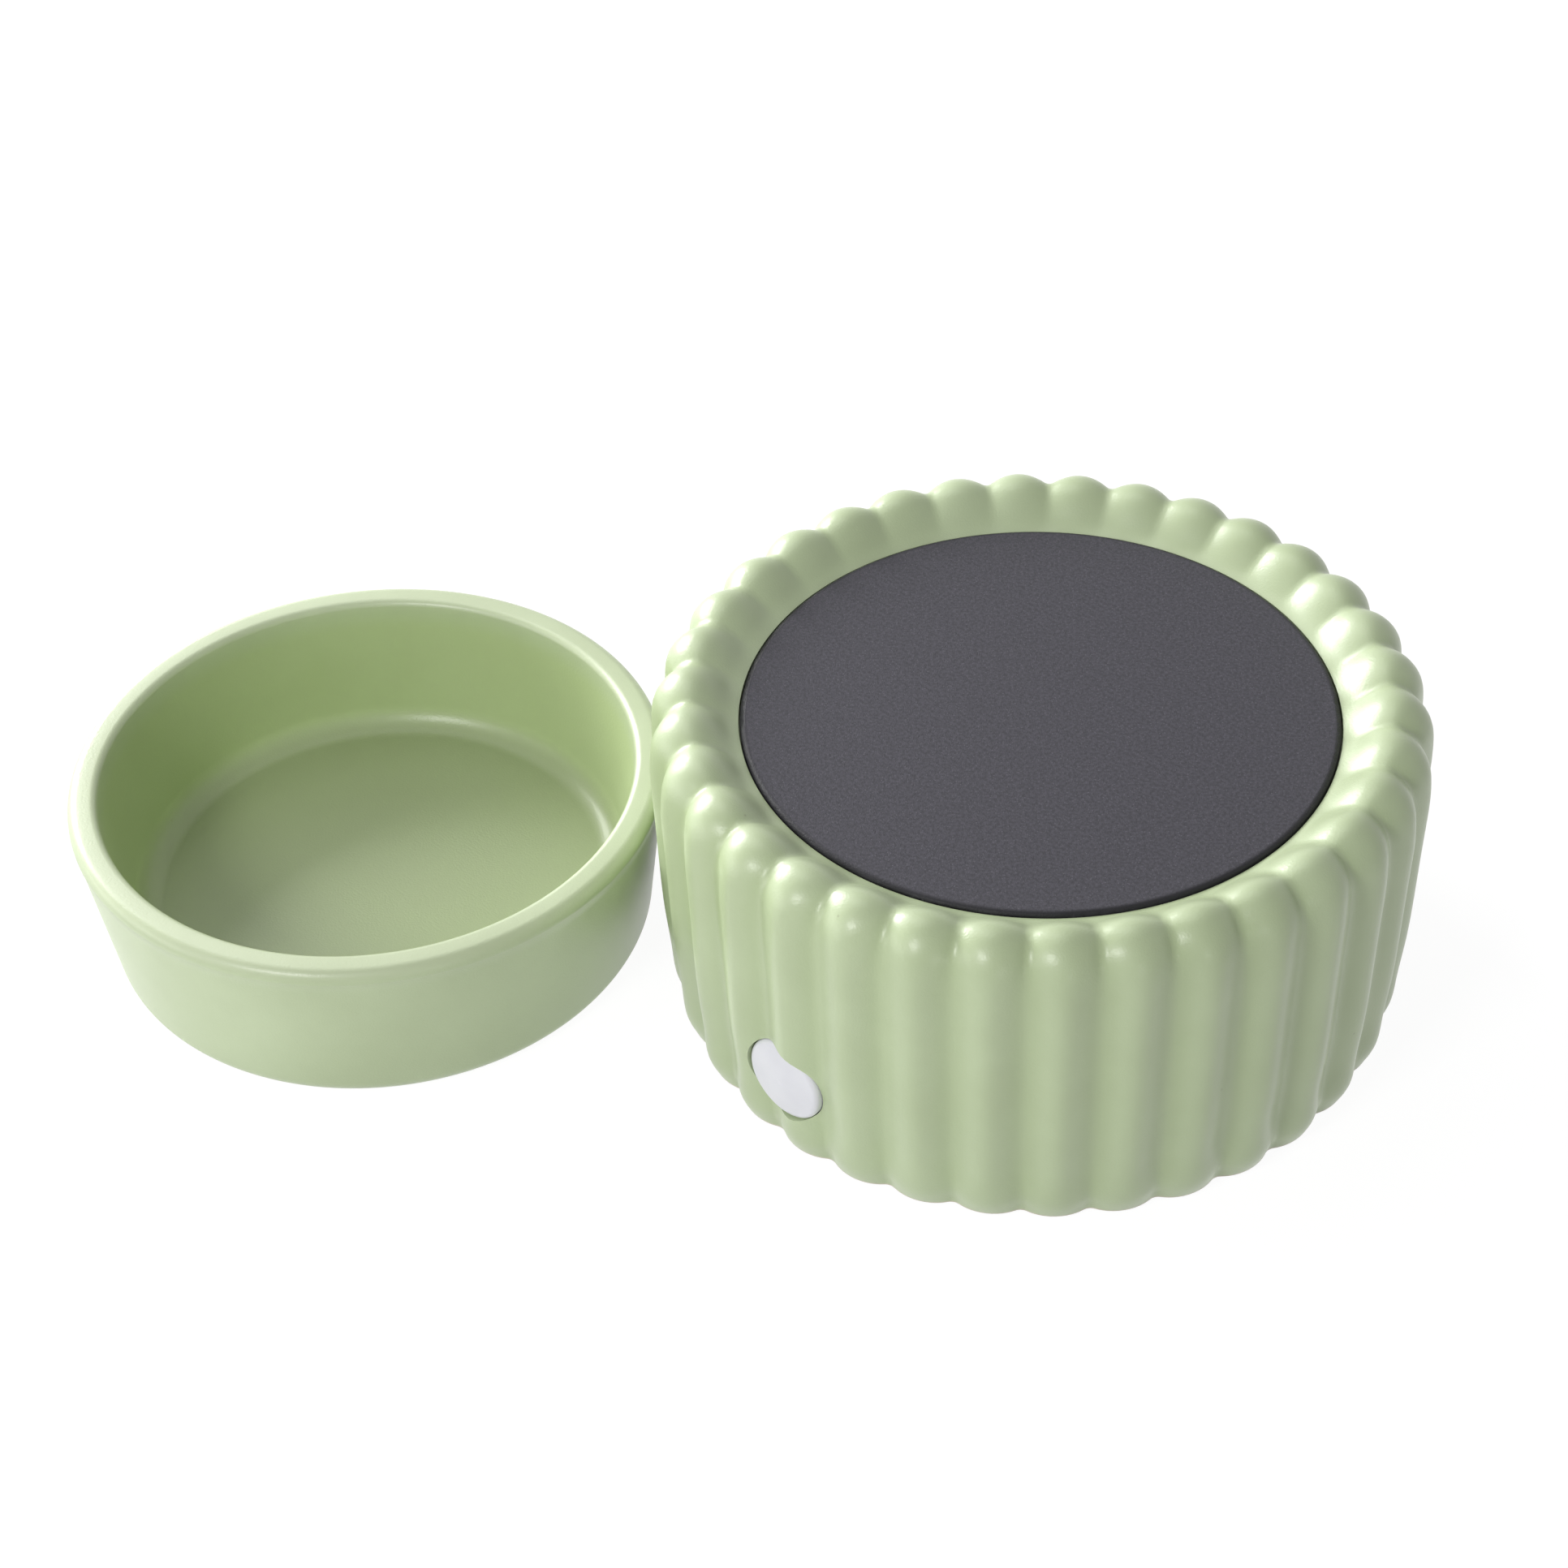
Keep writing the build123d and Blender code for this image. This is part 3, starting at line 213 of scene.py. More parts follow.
# Shrunk PVC sleeve over an aluminium can: near black, smooth and shiny.
can_sleeve = finish(
    "shrunk_pvc_sleeve", ("#15151C", "#20202A"), cloud_mm=3.0, grain_mm=0.5, relief_mm=0.012,
    roughness=0.2, IOR=1.54,
)
dress(can_sleeve, "smoothing_capacitor")

# Glass-filled nylon of terminals, fuse and switch: dull, with short fibres just showing.
terminal_nylon = finish(
    "green_glass_nylon", ("#256B3C", "#2F8049"), cloud_mm=1.5, grain_mm=0.18, relief_mm=0.015,
    roughness=0.52, stretch=(1, 4, 1),
)
dress(terminal_nylon, "supply_terminal", "heater_terminal")
black_nylon = finish(
    "black_glass_nylon", ("#151517", "#202023"), cloud_mm=1.5, grain_mm=0.18, relief_mm=0.015,
    roughness=0.5, stretch=(4, 1, 1),
)
dress(black_nylon, "board_fuse", "push_switch")

# Unfilled nylon of the header and the plunger: creamy and a little smoother.
natural_nylon = finish(
    "natural_nylon", ("#DDD9CC", "#E9E6DB"), cloud_mm=2.5, grain_mm=0.2, relief_mm=0.01, roughness=0.42,
)
dress(natural_nylon, "switch_header", "switch_plunger")


# --- Button guide ---------------------------------------------------------------------------
# A bracket moulded in one piece and screwed to the cover. It guides the button's stem and
# backs its spring.

# Grey ABS: dull and plain, with the mould's fine texture.
guide_abs = finish(
    "grey_moulded_abs", ("#C6C6C1", "#D1D1CC"), cloud_mm=8.0, grain_mm=0.3, relief_mm=0.02,
    roughness=0.5, IOR=1.53,
)
dress(guide_abs, "button_guide")


# --- Heater pack ----------------------------------------------------------------------------
# Under the plate lie a silicone seal, a heater disc between two mica sheets, and a clamp
# plate on three studs. A thermostat and a thermal fuse sit in the middle.

# Cured silicone: brick red, soft sheen.
seal_silicone = finish(
    "red_silicone", ("#7E2A1E", "#933426"), cloud_mm=6.0, grain_mm=0.3, relief_mm=0.015,
    roughness=0.55, IOR=1.43,
)
dress(seal_silicone, "plate_gasket")

# Pressed mica: silvery tan flakes, some brighter than others.
mica_sheet = finish(
    "pressed_mica_sheet", ("#9C8B6B", "#C4B692"), cloud_mm=1.8, grain_mm=0.6, relief_mm=0.02,
    roughness=0.4, spread=0.18, IOR=1.58,
)
dress(mica_sheet, "upper_mica", "lower_mica")

# Etched heating foil and spring steel: darker, with straw-coloured heat tint.
heated_steel = finish(
    "heat_tinted_steel", ("#8F8A80", "#A9A294"), cloud_mm=9.0, grain_mm=0.2, relief_mm=0.006,
    roughness=0.38, stretch=(5, 1, 1), Metallic=1.0,
)
dress(heated_steel, "heater_disc", "thermal_fuse", "plate_studs", "stud_nuts")
dress(heated_steel, "thermostat_bracket", "fuse_clip")

# Phenolic thermostat case: deep black and polished by its mould.
phenolic = finish(
    "moulded_phenolic", ("#120F0E", "#1D1917"), cloud_mm=3.0, grain_mm=0.4, relief_mm=0.008,
    roughness=0.24, IOR=1.6,
)
dress(phenolic, "thermostat")


# --- Button spring and clip -----------------------------------------------------------------
# Cold-coiled spring wire round the button's stem, closed at both ends, and the spring clip
# that keeps the stem from falling out.
SPRING_R = 4.9
SPRING_WIRE = 0.6
SPRING_TURNS = 5.5
SPRING_START = -62.05
SPRING_END = -52.2
SPRING_POINTS = 320
SPRING_WIRE_SIDES = 12
# Share of the wire that lies in each closed end turn.
SPRING_CLOSED = 0.1
BUTTON_Z = 17.1


def mesh_of(name, points, faces=()):
    """A new object whose mesh has these points, given in millimetres."""
    mesh = bpy.data.meshes.new(name)
    mesh.from_pydata([Vector(p) * MM for p in points], (), faces)
    made = bpy.data.objects.new(name, mesh)
    bpy.context.scene.collection.objects.link(made)
    return made


def new_rule(name, **inputs):
    """An empty Geometry Nodes tree with a shape in and out, and named sizes as inputs."""
    tree = bpy.data.node_groups.new(name, "GeometryNodeTree")
    tree.interface.new_socket("Geometry", in_out="INPUT", socket_type="NodeSocketGeometry")
    tree.interface.new_socket("Geometry", in_out="OUTPUT", socket_type="NodeSocketGeometry")
    for label, kind in inputs.items():
        tree.interface.new_socket(label, in_out="INPUT", socket_type="NodeSocket" + kind)
    return tree, add_node(tree, "NodeGroupInput"), add_node(tree, "NodeGroupOutput")


def bake_rule(made, tree, **values):
    """Runs a tree on an object and leaves its result there as a plain mesh."""
    modifier = made.modifiers.new(tree.name, "NODES")
    modifier.node_group = tree
    for item in tree.interface.items_tree:
        if item.name in values:
            modifier[item.identifier] = values[item.name]
    bpy.context.view_layer.update()
    ready = made.evaluated_get(bpy.context.evaluated_depsgraph_get())
    mesh = bpy.data.meshes.new_from_object(ready)
    made.modifiers.remove(modifier)
    made.data = mesh
    return made


tree, given, result = new_rule(
    "wound_spring", Coil_radius="Float", Wire_radius="Float", Turns="Float", Start="Float", End="Float",
    Height="Float", Steel="Material",
)
wire = add_node(tree, "GeometryNodeMeshLine", {"Count": SPRING_POINTS})
step = add_node(tree, "GeometryNodeInputIndex")
share = add_node(tree, "ShaderNodeMath", {"operation": "DIVIDE", 1: SPRING_POINTS - 1}, {0: step})
turned = add_node(tree, "ShaderNodeMath", {"operation": "MULTIPLY"}, {0: share, 1: given.outputs["Turns"]})
angle = add_node(tree, "ShaderNodeMath", {"operation": "MULTIPLY", 1: 2 * math.pi}, {0: turned})
side = add_node(tree, "ShaderNodeMath", {"operation": "COSINE"}, {0: angle})
lift = add_node(tree, "ShaderNodeMath", {"operation": "SINE"}, {0: angle})
# The wire moves along only between its two closed ends.
run = add_node(tree, "ShaderNodeMapRange", {
    "interpolation_type": "SMOOTHSTEP", "From Min": SPRING_CLOSED, "From Max": 1.0 - SPRING_CLOSED,
}, {"Value": share})
along = add_node(tree, "ShaderNodeMapRange", {}, {
    "Value": run, "To Min": given.outputs["Start"], "To Max": given.outputs["End"],
})
x = add_node(tree, "ShaderNodeMath", {"operation": "MULTIPLY"}, {0: side, 1: given.outputs["Coil_radius"]})
z = add_node(tree, "ShaderNodeMath", {"operation": "MULTIPLY_ADD"}, {
    0: lift, 1: given.outputs["Coil_radius"], 2: given.outputs["Height"],
})
place = add_node(tree, "ShaderNodeCombineXYZ", {}, {"X": x, "Y": along, "Z": z})
laid = add_node(tree, "GeometryNodeSetPosition", {}, {"Geometry": wire, "Position": place})
path = add_node(tree, "GeometryNodeMeshToCurve", {}, {"Mesh": laid})
round_wire = add_node(tree, "GeometryNodeCurvePrimitiveCircle", {"Resolution": SPRING_WIRE_SIDES}, {
    "Radius": given.outputs["Wire_radius"],
})
tube = add_node(tree, "GeometryNodeCurveToMesh", {"Fill Caps": True}, {
    "Curve": path, "Profile Curve": round_wire.outputs["Curve"],
})
smooth = add_node(tree, "GeometryNodeSetShadeSmooth", {}, {"Geometry": tube})
real = add_node(tree, "GeometryNodeRealizeInstances", {}, {"Geometry": smooth})
coated = add_node(tree, "GeometryNodeSetMaterial", {}, {"Geometry": real, "Material": given.outputs["Steel"]})
tree.links.new(coated.outputs[0], result.inputs[0])

# Spring steel: bright drawn wire with fine lengthwise draw marks.
spring_steel = finish(
    "drawn_spring_wire", ("#9FA2A6", "#B8BBBE"), cloud_mm=1.0, grain_mm=0.1, relief_mm=0.003,
    roughness=0.25, Metallic=1.0,
)
button_coil = bake_rule(
    mesh_of("button_coil", [(0, 0, 0)]), tree, Coil_radius=SPRING_R * MM, Wire_radius=SPRING_WIRE / 2 * MM,
    Turns=SPRING_TURNS, Start=(SPRING_START + SPRING_WIRE / 2) * MM, End=(SPRING_END - SPRING_WIRE / 2) * MM,
    Height=BUTTON_Z * MM, Steel=spring_steel,
)
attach(button_coil, "base")
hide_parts("button_spring")
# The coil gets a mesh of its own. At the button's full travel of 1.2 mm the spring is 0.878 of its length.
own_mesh(button_coil)
dress(spring_steel, "retaining_clip")


# --- Heat plate -----------------------------------------------------------------------------
# Pressed aluminium plate with a rolled-over edge, sprayed with a heat-resistant charcoal
# coating that holds fine sand, so the dish's foot doesn't slip.
PLATE_SAND = 0.6
# A painted glint is full within the first share of a grain's cell, and gone beyond the second.
PLATE_GLINT = (0.1, 0.24)
PLATE_ROLL = (48.9, 49.6)


def reach_of(tree, place):
    """Distance of a place from the upright axis through its origin."""
    across = add_node(tree, "ShaderNodeVectorMath", {"operation": "MULTIPLY", 1: (1.0, 1.0, 0.0)}, {0: place})
    return add_node(tree, "ShaderNodeVectorMath", {"operation": "LENGTH"}, {0: across}).outputs["Value"]


def tint(material, layers):
    """Lays shades over a surface's own colour one after the other, each by its share."""
    tree = material.node_tree
    shader = tree.nodes["Principled BSDF"]
    colour = shader.inputs["Base Color"].links[0].from_socket
    for share, shade in layers:
        laid = add_node(tree, "ShaderNodeMix", {"data_type": "RGBA", 7: linear(shade)}, {0: share, 6: colour})
        colour = laid.outputs[2]
    tree.links.new(colour, shader.inputs["Base Color"])


# Sprayed coating: flat charcoal, with painted glints on single grains and painted shade over the rolled edge.
# Its sand of about 0.2 mm is drawn as grains of 0.6 mm, because finer ones don't show.
plate_coating = finish(
    "sprayed_charcoal_coating", ("#3C3B41", "#4D4B53"), cloud_mm=0.55, grain_mm=0.26, relief_mm=0.08,
    roughness=0.5, spread=0.16, IOR=1.5, Specular_IOR_Level=0.26,
)
tree = plate_coating.node_tree
place = add_node(tree, "ShaderNodeTexCoord").outputs["Object"]
grains = add_node(tree, "ShaderNodeTexVoronoi", {"Scale": 1 / (PLATE_SAND * MM)}, {"Vector": place})
# Painted highlight: single grains are lightened in colour as glints.
painted_glint = add_node(tree, "ShaderNodeMapRange", {
    "From Min": PLATE_GLINT[0], "From Max": PLATE_GLINT[1], "To Min": 0.55, "To Max": 0.0,
}, {"Value": grains.outputs["Distance"]})
# Painted shade: the rolled edge is darkened in colour.
painted_edge_shade = add_node(tree, "ShaderNodeMapRange", {
    "From Min": PLATE_ROLL[0] * MM, "From Max": PLATE_ROLL[1] * MM,
}, {"Value": reach_of(tree, place)})
tint(plate_coating, ((painted_glint, "#6E6C75"), (painted_edge_shade, "#232227")))
dress(plate_coating, "heat_plate")


# --- Ceramic base ---------------------------------------------------------------------------
# Slip-cast stoneware body with 34 flutes that run up the wall and over the round rim into
# the plate's recess, glazed in sage green. Button and gland holes are cut before firing.
FLUTES = 34
CREST_R = 65.5
FLUTE_DEPTH = 2.0
VALLEY_ROUND = 1.7
FLUTE_TURN_DEG = 2.0
BASE_HEIGHT = 62.48
SHOULDER = 54.1
RIM_TOP_R = 58.75
FOOT_LIFT = 0.8
FOOT_INSET = 3.5
RECESS_R = 50.35
RECESS_EDGE = 57.1
# Share of the height, of the foot's inset and of the flutes' full depth.
WALL_SHARES = (
    (0.0, 1.0, 0.7), (0.02, 0.86, 0.8), (0.06, 0.63, 0.85), (0.16, 0.454, 0.95), (0.34, 0.239, 1.0),
    (0.58, 0.096, 1.0), (0.82, 0.0, 1.0),
)
# Turn over the rim in degrees, and share of the flutes' depth.
RIM_OUTER_SHARES = ((0.0, 1.0), (26.0, 0.97), (50.0, 0.92), (71.0, 0.82), (90.0, 0.68))
# Share of the way in to the recess, of the way down to its edge and of the flutes' depth.
RIM_INNER_SHARES = (
    (0.2, 0.063, 0.6), (0.4, 0.243, 0.5), (0.62, 0.54, 0.33), (0.82, 0.832, 0.14), (1.0, 1.0, 0.0),
)
# How far the glaze rounds the valleys off, by height: crisp at the foot and on the rim, soft between.
SOFTNESS = ((0.8, 0.0), (12.0, 0.88), (53.0, 0.88), (61.0, 0.1))
# Recess, ledge under the plate, hollow inside and foot, as (radius, height).
INSIDE_LINE = (
    (50.35, 56.0), (50.35, 54.9), (47.0, 54.9), (43.5, 54.9), (40.0, 54.9), (40.0, 52.6), (40.0, 50.4),
    (46.4, 50.4), (52.7, 50.4), (55.0, 47.6), (57.2, 44.9), (57.2, 34.0), (57.2, 24.0), (57.2, 14.0),
    (57.2, 3.4), (59.1, 3.4), (59.1, 2.1), (59.1, 0.8),
)
STEPS_PER_FLUTE = 20
VALLEY_CROWDING = 0.7
CREST_STEPS = 88
# The holes' cutting tools, as (radius, y) along their axes.
BUTTON_HOLE = ((7.85, -67.0), (7.85, -49.1))
GLAND_HOLE = ((5.2, 52.0), (5.2, 62.1), (7.1, 62.1), (7.1, 67.0))
GLAND_Z = 14.0
MERGE_WITHIN = 0.01
SHARP_DEG = 38.0


def smooth_line(points, count):
    """Even steps along a smooth curve through the points, and its direction at each."""
    points = np.array(points, float)
    reach = np.concatenate(([0.0], np.cumsum(np.linalg.norm(np.diff(points, axis=0), axis=1))))
    gaps = np.diff(reach)
    system, pull = np.eye(len(reach)), np.zeros_like(points)
    for i in range(1, len(reach) - 1):
        system[i, i - 1:i + 2] = gaps[i - 1], 2 * (gaps[i - 1] + gaps[i]), gaps[i]
        pull[i] = 6 * ((points[i + 1] - points[i]) / gaps[i] - (points[i] - points[i - 1]) / gaps[i - 1])
    bend = np.linalg.solve(system, pull)
    at = np.linspace(0.0, reach[-1], count)
    k = np.clip(np.searchsorted(reach, at, side="right") - 1, 0, len(gaps) - 1)
    gap, before, after = gaps[k][:, None], (at - reach[k])[:, None], (reach[k + 1] - at)[:, None]
    line = (bend[k] * after ** 3 + bend[k + 1] * before ** 3) / (6 * gap)
    line += (points[k] / gap - bend[k] * gap / 6) * after
    line += (points[k + 1] / gap - bend[k + 1] * gap / 6) * before
    slope = (bend[k + 1] * before ** 2 - bend[k] * after ** 2) / (2 * gap)
    slope += (points[k + 1] - points[k]) / gap - (bend[k + 1] - bend[k]) * gap / 6
    return line, slope


def flute_outline():
    """Angle, crisp inset (a broad arc, then a tight one) and soft inset (a wave) along a flute."""
    half = math.pi / FLUTES
    valley = CREST_R - FLUTE_DEPTH + VALLEY_ROUND
    across = valley * math.cos(half)
    lobe = (CREST_R ** 2 + valley ** 2 - 2 * CREST_R * across - VALLEY_ROUND ** 2) / (
        2 * (CREST_R - across + VALLEY_ROUND))
    middle = CREST_R - lobe
    touch = math.atan2(valley * math.sin(half) * lobe, middle * (math.hypot(
        across - middle, valley * math.sin(half)) - lobe) + across * lobe)
    outline = []
    for step in range(STEPS_PER_FLUTE):
        share = step / STEPS_PER_FLUTE - 0.5
        # Steps lie more than five times closer in the tight valley than on the crest.
        share += VALLEY_CROWDING * math.sin(2 * math.pi * share) / (2 * math.pi)
        turn = 2 * half * share
        from_valley = half - abs(turn)
        if abs(turn) <= touch:
            r = middle * math.cos(turn) + math.sqrt(lobe ** 2 - (middle * math.sin(turn)) ** 2)
        else:
            r = valley * math.cos(from_valley) - math.sqrt(
                VALLEY_ROUND ** 2 - (valley * math.sin(from_valley)) ** 2)
        outline.append((turn, CREST_R - r, FLUTE_DEPTH * (0.5 - 0.5 * math.cos(math.pi * turn / half))))
    return outline


crest = [(CREST_R - FOOT_INSET * inset, flute, FOOT_LIFT + (SHOULDER - FOOT_LIFT) * up)
         for up, inset, flute in WALL_SHARES]
crest += [(RIM_TOP_R + (CREST_R - RIM_TOP_R) * math.cos(math.radians(turn)), flute,
           SHOULDER + (BASE_HEIGHT - SHOULDER) * math.sin(math.radians(turn)))
          for turn, flute in RIM_OUTER_SHARES]
crest += [(RIM_TOP_R - (RIM_TOP_R - RECESS_R) * inward, flute,
           BASE_HEIGHT - (BASE_HEIGHT - RECESS_EDGE) * down)
          for inward, down, flute in RIM_INNER_SHARES]
line, slope = smooth_line(crest, CREST_STEPS)
section = [(r, 0.0, z) for r, flute, z in line] + [(r, 0.0, z) for r, z in INSIDE_LINE]
section.append(section[0])
flute_share = [max(flute, 0.0) for r, flute, z in line] + [0.0] * len(INSIDE_LINE)
flute_share.append(flute_share[0])
softness = [float(np.interp(point[2], *zip(*SOFTNESS))) for point in section]
# The flutes sink in square to the crest's line, but level at the foot, so that it stays flat.
level_out = Vector((1, 0, 0))
outward = [Vector((rise, 0.0, -out)).normalized() for out, _, rise in slope]
outward += [level_out] * (len(INSIDE_LINE) + 1)
outward[0] = level_out

tree, given, result = new_rule(
    "fluted_wall", Outline="Object", Flutes="Int", Steps="Int", Points="Int", Turn="Float", Pitch="Float",
    Holes="Object", Glaze="Material",
)
columns = add_node(tree, "ShaderNodeMath", {"operation": "MULTIPLY_ADD", 2: 1.0}, {
    0: given.outputs["Flutes"], 1: given.outputs["Steps"],
})
grid = add_node(tree, "GeometryNodeMeshGrid", {}, {
    "Vertices X": columns, "Vertices Y": given.outputs["Points"],
})
index = add_node(tree, "GeometryNodeInputIndex")
column, row = (
    add_node(tree, "FunctionNodeIntegerMath", {"operation": part}, {0: index, 1: given.outputs["Points"]})
    for part in ("DIVIDE_FLOOR", "MODULO")
)
flute, within = (
    add_node(tree, "FunctionNodeIntegerMath", {"operation": part}, {0: column, 1: given.outputs["Steps"]})
    for part in ("DIVIDE_FLOOR", "MODULO")
)
here = add_node(tree, "GeometryNodeInputPosition")
outline = add_node(tree, "GeometryNodeObjectInfo", {}, {"Object": given.outputs["Outline"]})
in_section = add_node(tree, "GeometryNodeSampleIndex", {"data_type": "FLOAT_VECTOR"}, {
    "Geometry": given.outputs["Geometry"], "Value": here, "Index": row,
})
in_outline = add_node(tree, "GeometryNodeSampleIndex", {"data_type": "FLOAT_VECTOR"}, {
    "Geometry": outline.outputs["Geometry"], "Value": here, "Index": within,
})
at_row = {}
for label, kind in (("outward", "FLOAT_VECTOR"), ("flute_share", "FLOAT"), ("softness", "FLOAT")):
    stored = add_node(tree, "GeometryNodeInputNamedAttribute", {"data_type": kind, "Name": label})
    at_row[label] = add_node(tree, "GeometryNodeSampleIndex", {"data_type": kind}, {
        "Geometry": given.outputs["Geometry"], "Value": stored, "Index": row,
    })
parts = add_node(tree, "ShaderNodeSeparateXYZ", {}, {"Vector": in_outline})
inset = add_node(tree, "ShaderNodeMix", {"data_type": "FLOAT"}, {
    0: at_row["softness"], 2: parts.outputs["Y"], 3: parts.outputs["Z"],
})
sunk = add_node(tree, "ShaderNodeMath", {"operation": "MULTIPLY"}, {0: inset, 1: at_row["flute_share"]})
shift = add_node(tree, "ShaderNodeVectorMath", {"operation": "SCALE"}, {0: at_row["outward"], "Scale": sunk})
flat = add_node(tree, "ShaderNodeVectorMath", {"operation": "SUBTRACT"}, {0: in_section, 1: shift})
start = add_node(tree, "ShaderNodeMath", {"operation": "MULTIPLY_ADD"}, {
    0: flute, 1: given.outputs["Pitch"], 2: given.outputs["Turn"],
})
# The outline's angles were made a thousandth along with its lengths.
angle = add_node(tree, "ShaderNodeMath", {"operation": "MULTIPLY_ADD", 1: 1 / MM}, {
    0: parts.outputs["X"], 2: start,
})
spun = add_node(tree, "ShaderNodeVectorRotate", {"rotation_type": "Z_AXIS"}, {"Vector": flat, "Angle": angle})
formed = add_node(tree, "GeometryNodeSetPosition", {}, {"Geometry": grid.outputs["Mesh"], "Position": spun})
kept = add_node(tree, "GeometryNodeStoreNamedAttribute", {
    "data_type": "FLOAT", "domain": "POINT", "Name": "glaze_depth",
}, {"Geometry": formed, "Value": sunk})
closed = add_node(tree, "GeometryNodeMergeByDistance", {"Distance": MERGE_WITHIN * MM}, {"Geometry": kept})
turned_out = add_node(tree, "GeometryNodeFlipFaces", {}, {"Mesh": closed})
holes = add_node(tree, "GeometryNodeObjectInfo", {}, {"Object": given.outputs["Holes"]})
cut = add_node(tree, "GeometryNodeMeshBoolean", {"operation": "DIFFERENCE", "solver": "EXACT"}, {
    "Mesh 1": turned_out, "Mesh 2": holes.outputs["Geometry"],
})
real = add_node(tree, "GeometryNodeRealizeInstances", {}, {"Geometry": cut})
coated = add_node(tree, "GeometryNodeSetMaterial", {}, {"Geometry": real, "Material": given.outputs["Glaze"]})
tree.links.new(coated.outputs[0], result.inputs[0])


def bore(mesh_points, mesh_faces, profile, height, steps=160):
    """Adds a closed round tool along Y, with these (radius, y) steps, to points and faces."""
    first = len(mesh_points)
    for radius, y in profile:
        for i in range(steps):
            turn = 2 * math.pi * i / steps
            mesh_points.append((radius * math.cos(turn), y, height + radius * math.sin(turn)))
    for ring in range(first, first + steps * (len(profile) - 1), steps):
        for i in range(steps):
            j = (i + 1) % steps
            mesh_faces.append((ring + i, ring + steps + i, ring + steps + j, ring + j))
    mesh_faces.append(tuple(first + i for i in range(steps)))
    mesh_faces.append(tuple(len(mesh_points) - steps + i for i in reversed(range(steps))))


hole_points, hole_faces = [], []
bore(hole_points, hole_faces, BUTTON_HOLE, BUTTON_Z)
bore(hole_points, hole_faces, GLAND_HOLE, GLAND_Z)
holes_tool = mesh_of("holes_tool", hole_points, hole_faces)
outline_tool = mesh_of("outline_tool", flute_outline())

# The glaze pools between these depths in the valleys, and is wiped off the foot up to these heights.
GLAZE_POOL = (0.6, 2.0)
FOOT_WIPED = (0.1, 0.5)
# Iron specks of the stoneware body: under half a millimetre, one in a few square centimetres. There
# are this many cells to a metre, and a speck fades out between these shares of its cell.
SPECK_CELLS = 90.0
SPECK_SHARES = (0.012, 0.03)


def glazed_stoneware(name, foot_height):
    """Sage-green satin glaze: deeper where it pools, with fine specks, bare at the foot."""
    material = finish(
        name, ("#B0BF95", "#B7C69D"), cloud_mm=22.0, grain_mm=0.4, relief_mm=0.035, roughness=0.52,
        spread=0.08, IOR=1.55, Coat_Weight=0.72, Coat_Roughness=0.31,
    )
    tree = material.node_tree
    depth = add_node(tree, "ShaderNodeAttribute", {"attribute_name": "glaze_depth"})
    pool = add_node(tree, "ShaderNodeMapRange", {
        "interpolation_type": "SMOOTHSTEP", "From Min": GLAZE_POOL[0] * MM, "From Max": GLAZE_POOL[1] * MM,
        "To Max": 0.22,
    }, {"Value": depth.outputs["Fac"]})
    place = add_node(tree, "ShaderNodeTexCoord").outputs["Object"]
    cells = add_node(tree, "ShaderNodeTexVoronoi", {"Scale": SPECK_CELLS}, {"Vector": place})
    speck = add_node(tree, "ShaderNodeMapRange", {
        "From Min": SPECK_SHARES[0], "From Max": SPECK_SHARES[1], "To Min": 0.35, "To Max": 0.0,
    }, {"Value": cells.outputs["Distance"]})
    # The foot ring is wiped clean before firing and shows the bare body.
    height = add_node(tree, "ShaderNodeSeparateXYZ", {}, {"Vector": place})
    wiped = add_node(tree, "ShaderNodeMapRange", {
        "From Min": (foot_height + FOOT_WIPED[0]) * MM, "From Max": (foot_height + FOOT_WIPED[1]) * MM,
        "To Min": 1.0, "To Max": 0.0,
    }, {"Value": height.outputs["Z"]})
    tint(material, ((pool, "#94A670"), (speck, "#6E6A4C"), (wiped, "#CFC6B2")))
    return material


# Satin glaze on stoneware: soft bright highlights, a fine orange-peel grain inside them.
base_glaze = glazed_stoneware("satin_sage_glaze", FOOT_LIFT)
fluted_base = mesh_of("fluted_base", section)
for label, kind, field, values in (
    ("outward", "FLOAT_VECTOR", "vector", [part for direction in outward for part in direction]),
    ("flute_share", "FLOAT", "value", flute_share),
    ("softness", "FLOAT", "value", softness),
):
    fluted_base.data.attributes.new(label, kind, "POINT").data.foreach_set(field, values)
bake_rule(
    fluted_base, tree, Outline=outline_tool, Flutes=FLUTES, Steps=STEPS_PER_FLUTE, Points=len(section),
    Turn=math.radians(FLUTE_TURN_DEG - 90.0), Pitch=2 * math.pi / FLUTES, Holes=holes_tool, Glaze=base_glaze,
)
for tool in (holes_tool, outline_tool):
    bpy.data.objects.remove(tool)
fluted_base.data.shade_smooth()
fluted_base.data.set_sharp_from_angle(angle=math.radians(SHARP_DEG))
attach(fluted_base, "base")
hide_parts("ceramic_base")


# --- Push button ----------------------------------------------------------------------------
# Moulded cap with a slightly domed face, pushed in to switch the heater on and off. Its skirt
# and stem slide in the guide.

# Polished ABS: cool white, soft gloss, hardly any texture.
button_abs = finish(
    "polished_white_abs", ("#DEDEE5", "#E5E5EB"), cloud_mm=9.0, grain_mm=0.5, relief_mm=0.004,
    roughness=0.32, spread=0.04, IOR=1.53,
)
dress(button_abs, "button_cap")


# --- Cord gland and leads -------------------------------------------------------------------
# A rubber gland closes the hole at the back for the supply cord. Inside, sleeved leads join
# the board to the heater and to the switch.
dress(foot_rubber, "cord_gland")

# Silicone-coated glass sleeve: chalky white, with the braid just showing through.
glass_sleeve = finish(
    "braided_glass_sleeve", ("#CFCBBF", "#DEDBD0"), cloud_mm=0.9, grain_mm=0.35, relief_mm=0.05,
    roughness=0.62, IOR=1.45,
)
dress(glass_sleeve, "heater_leads")

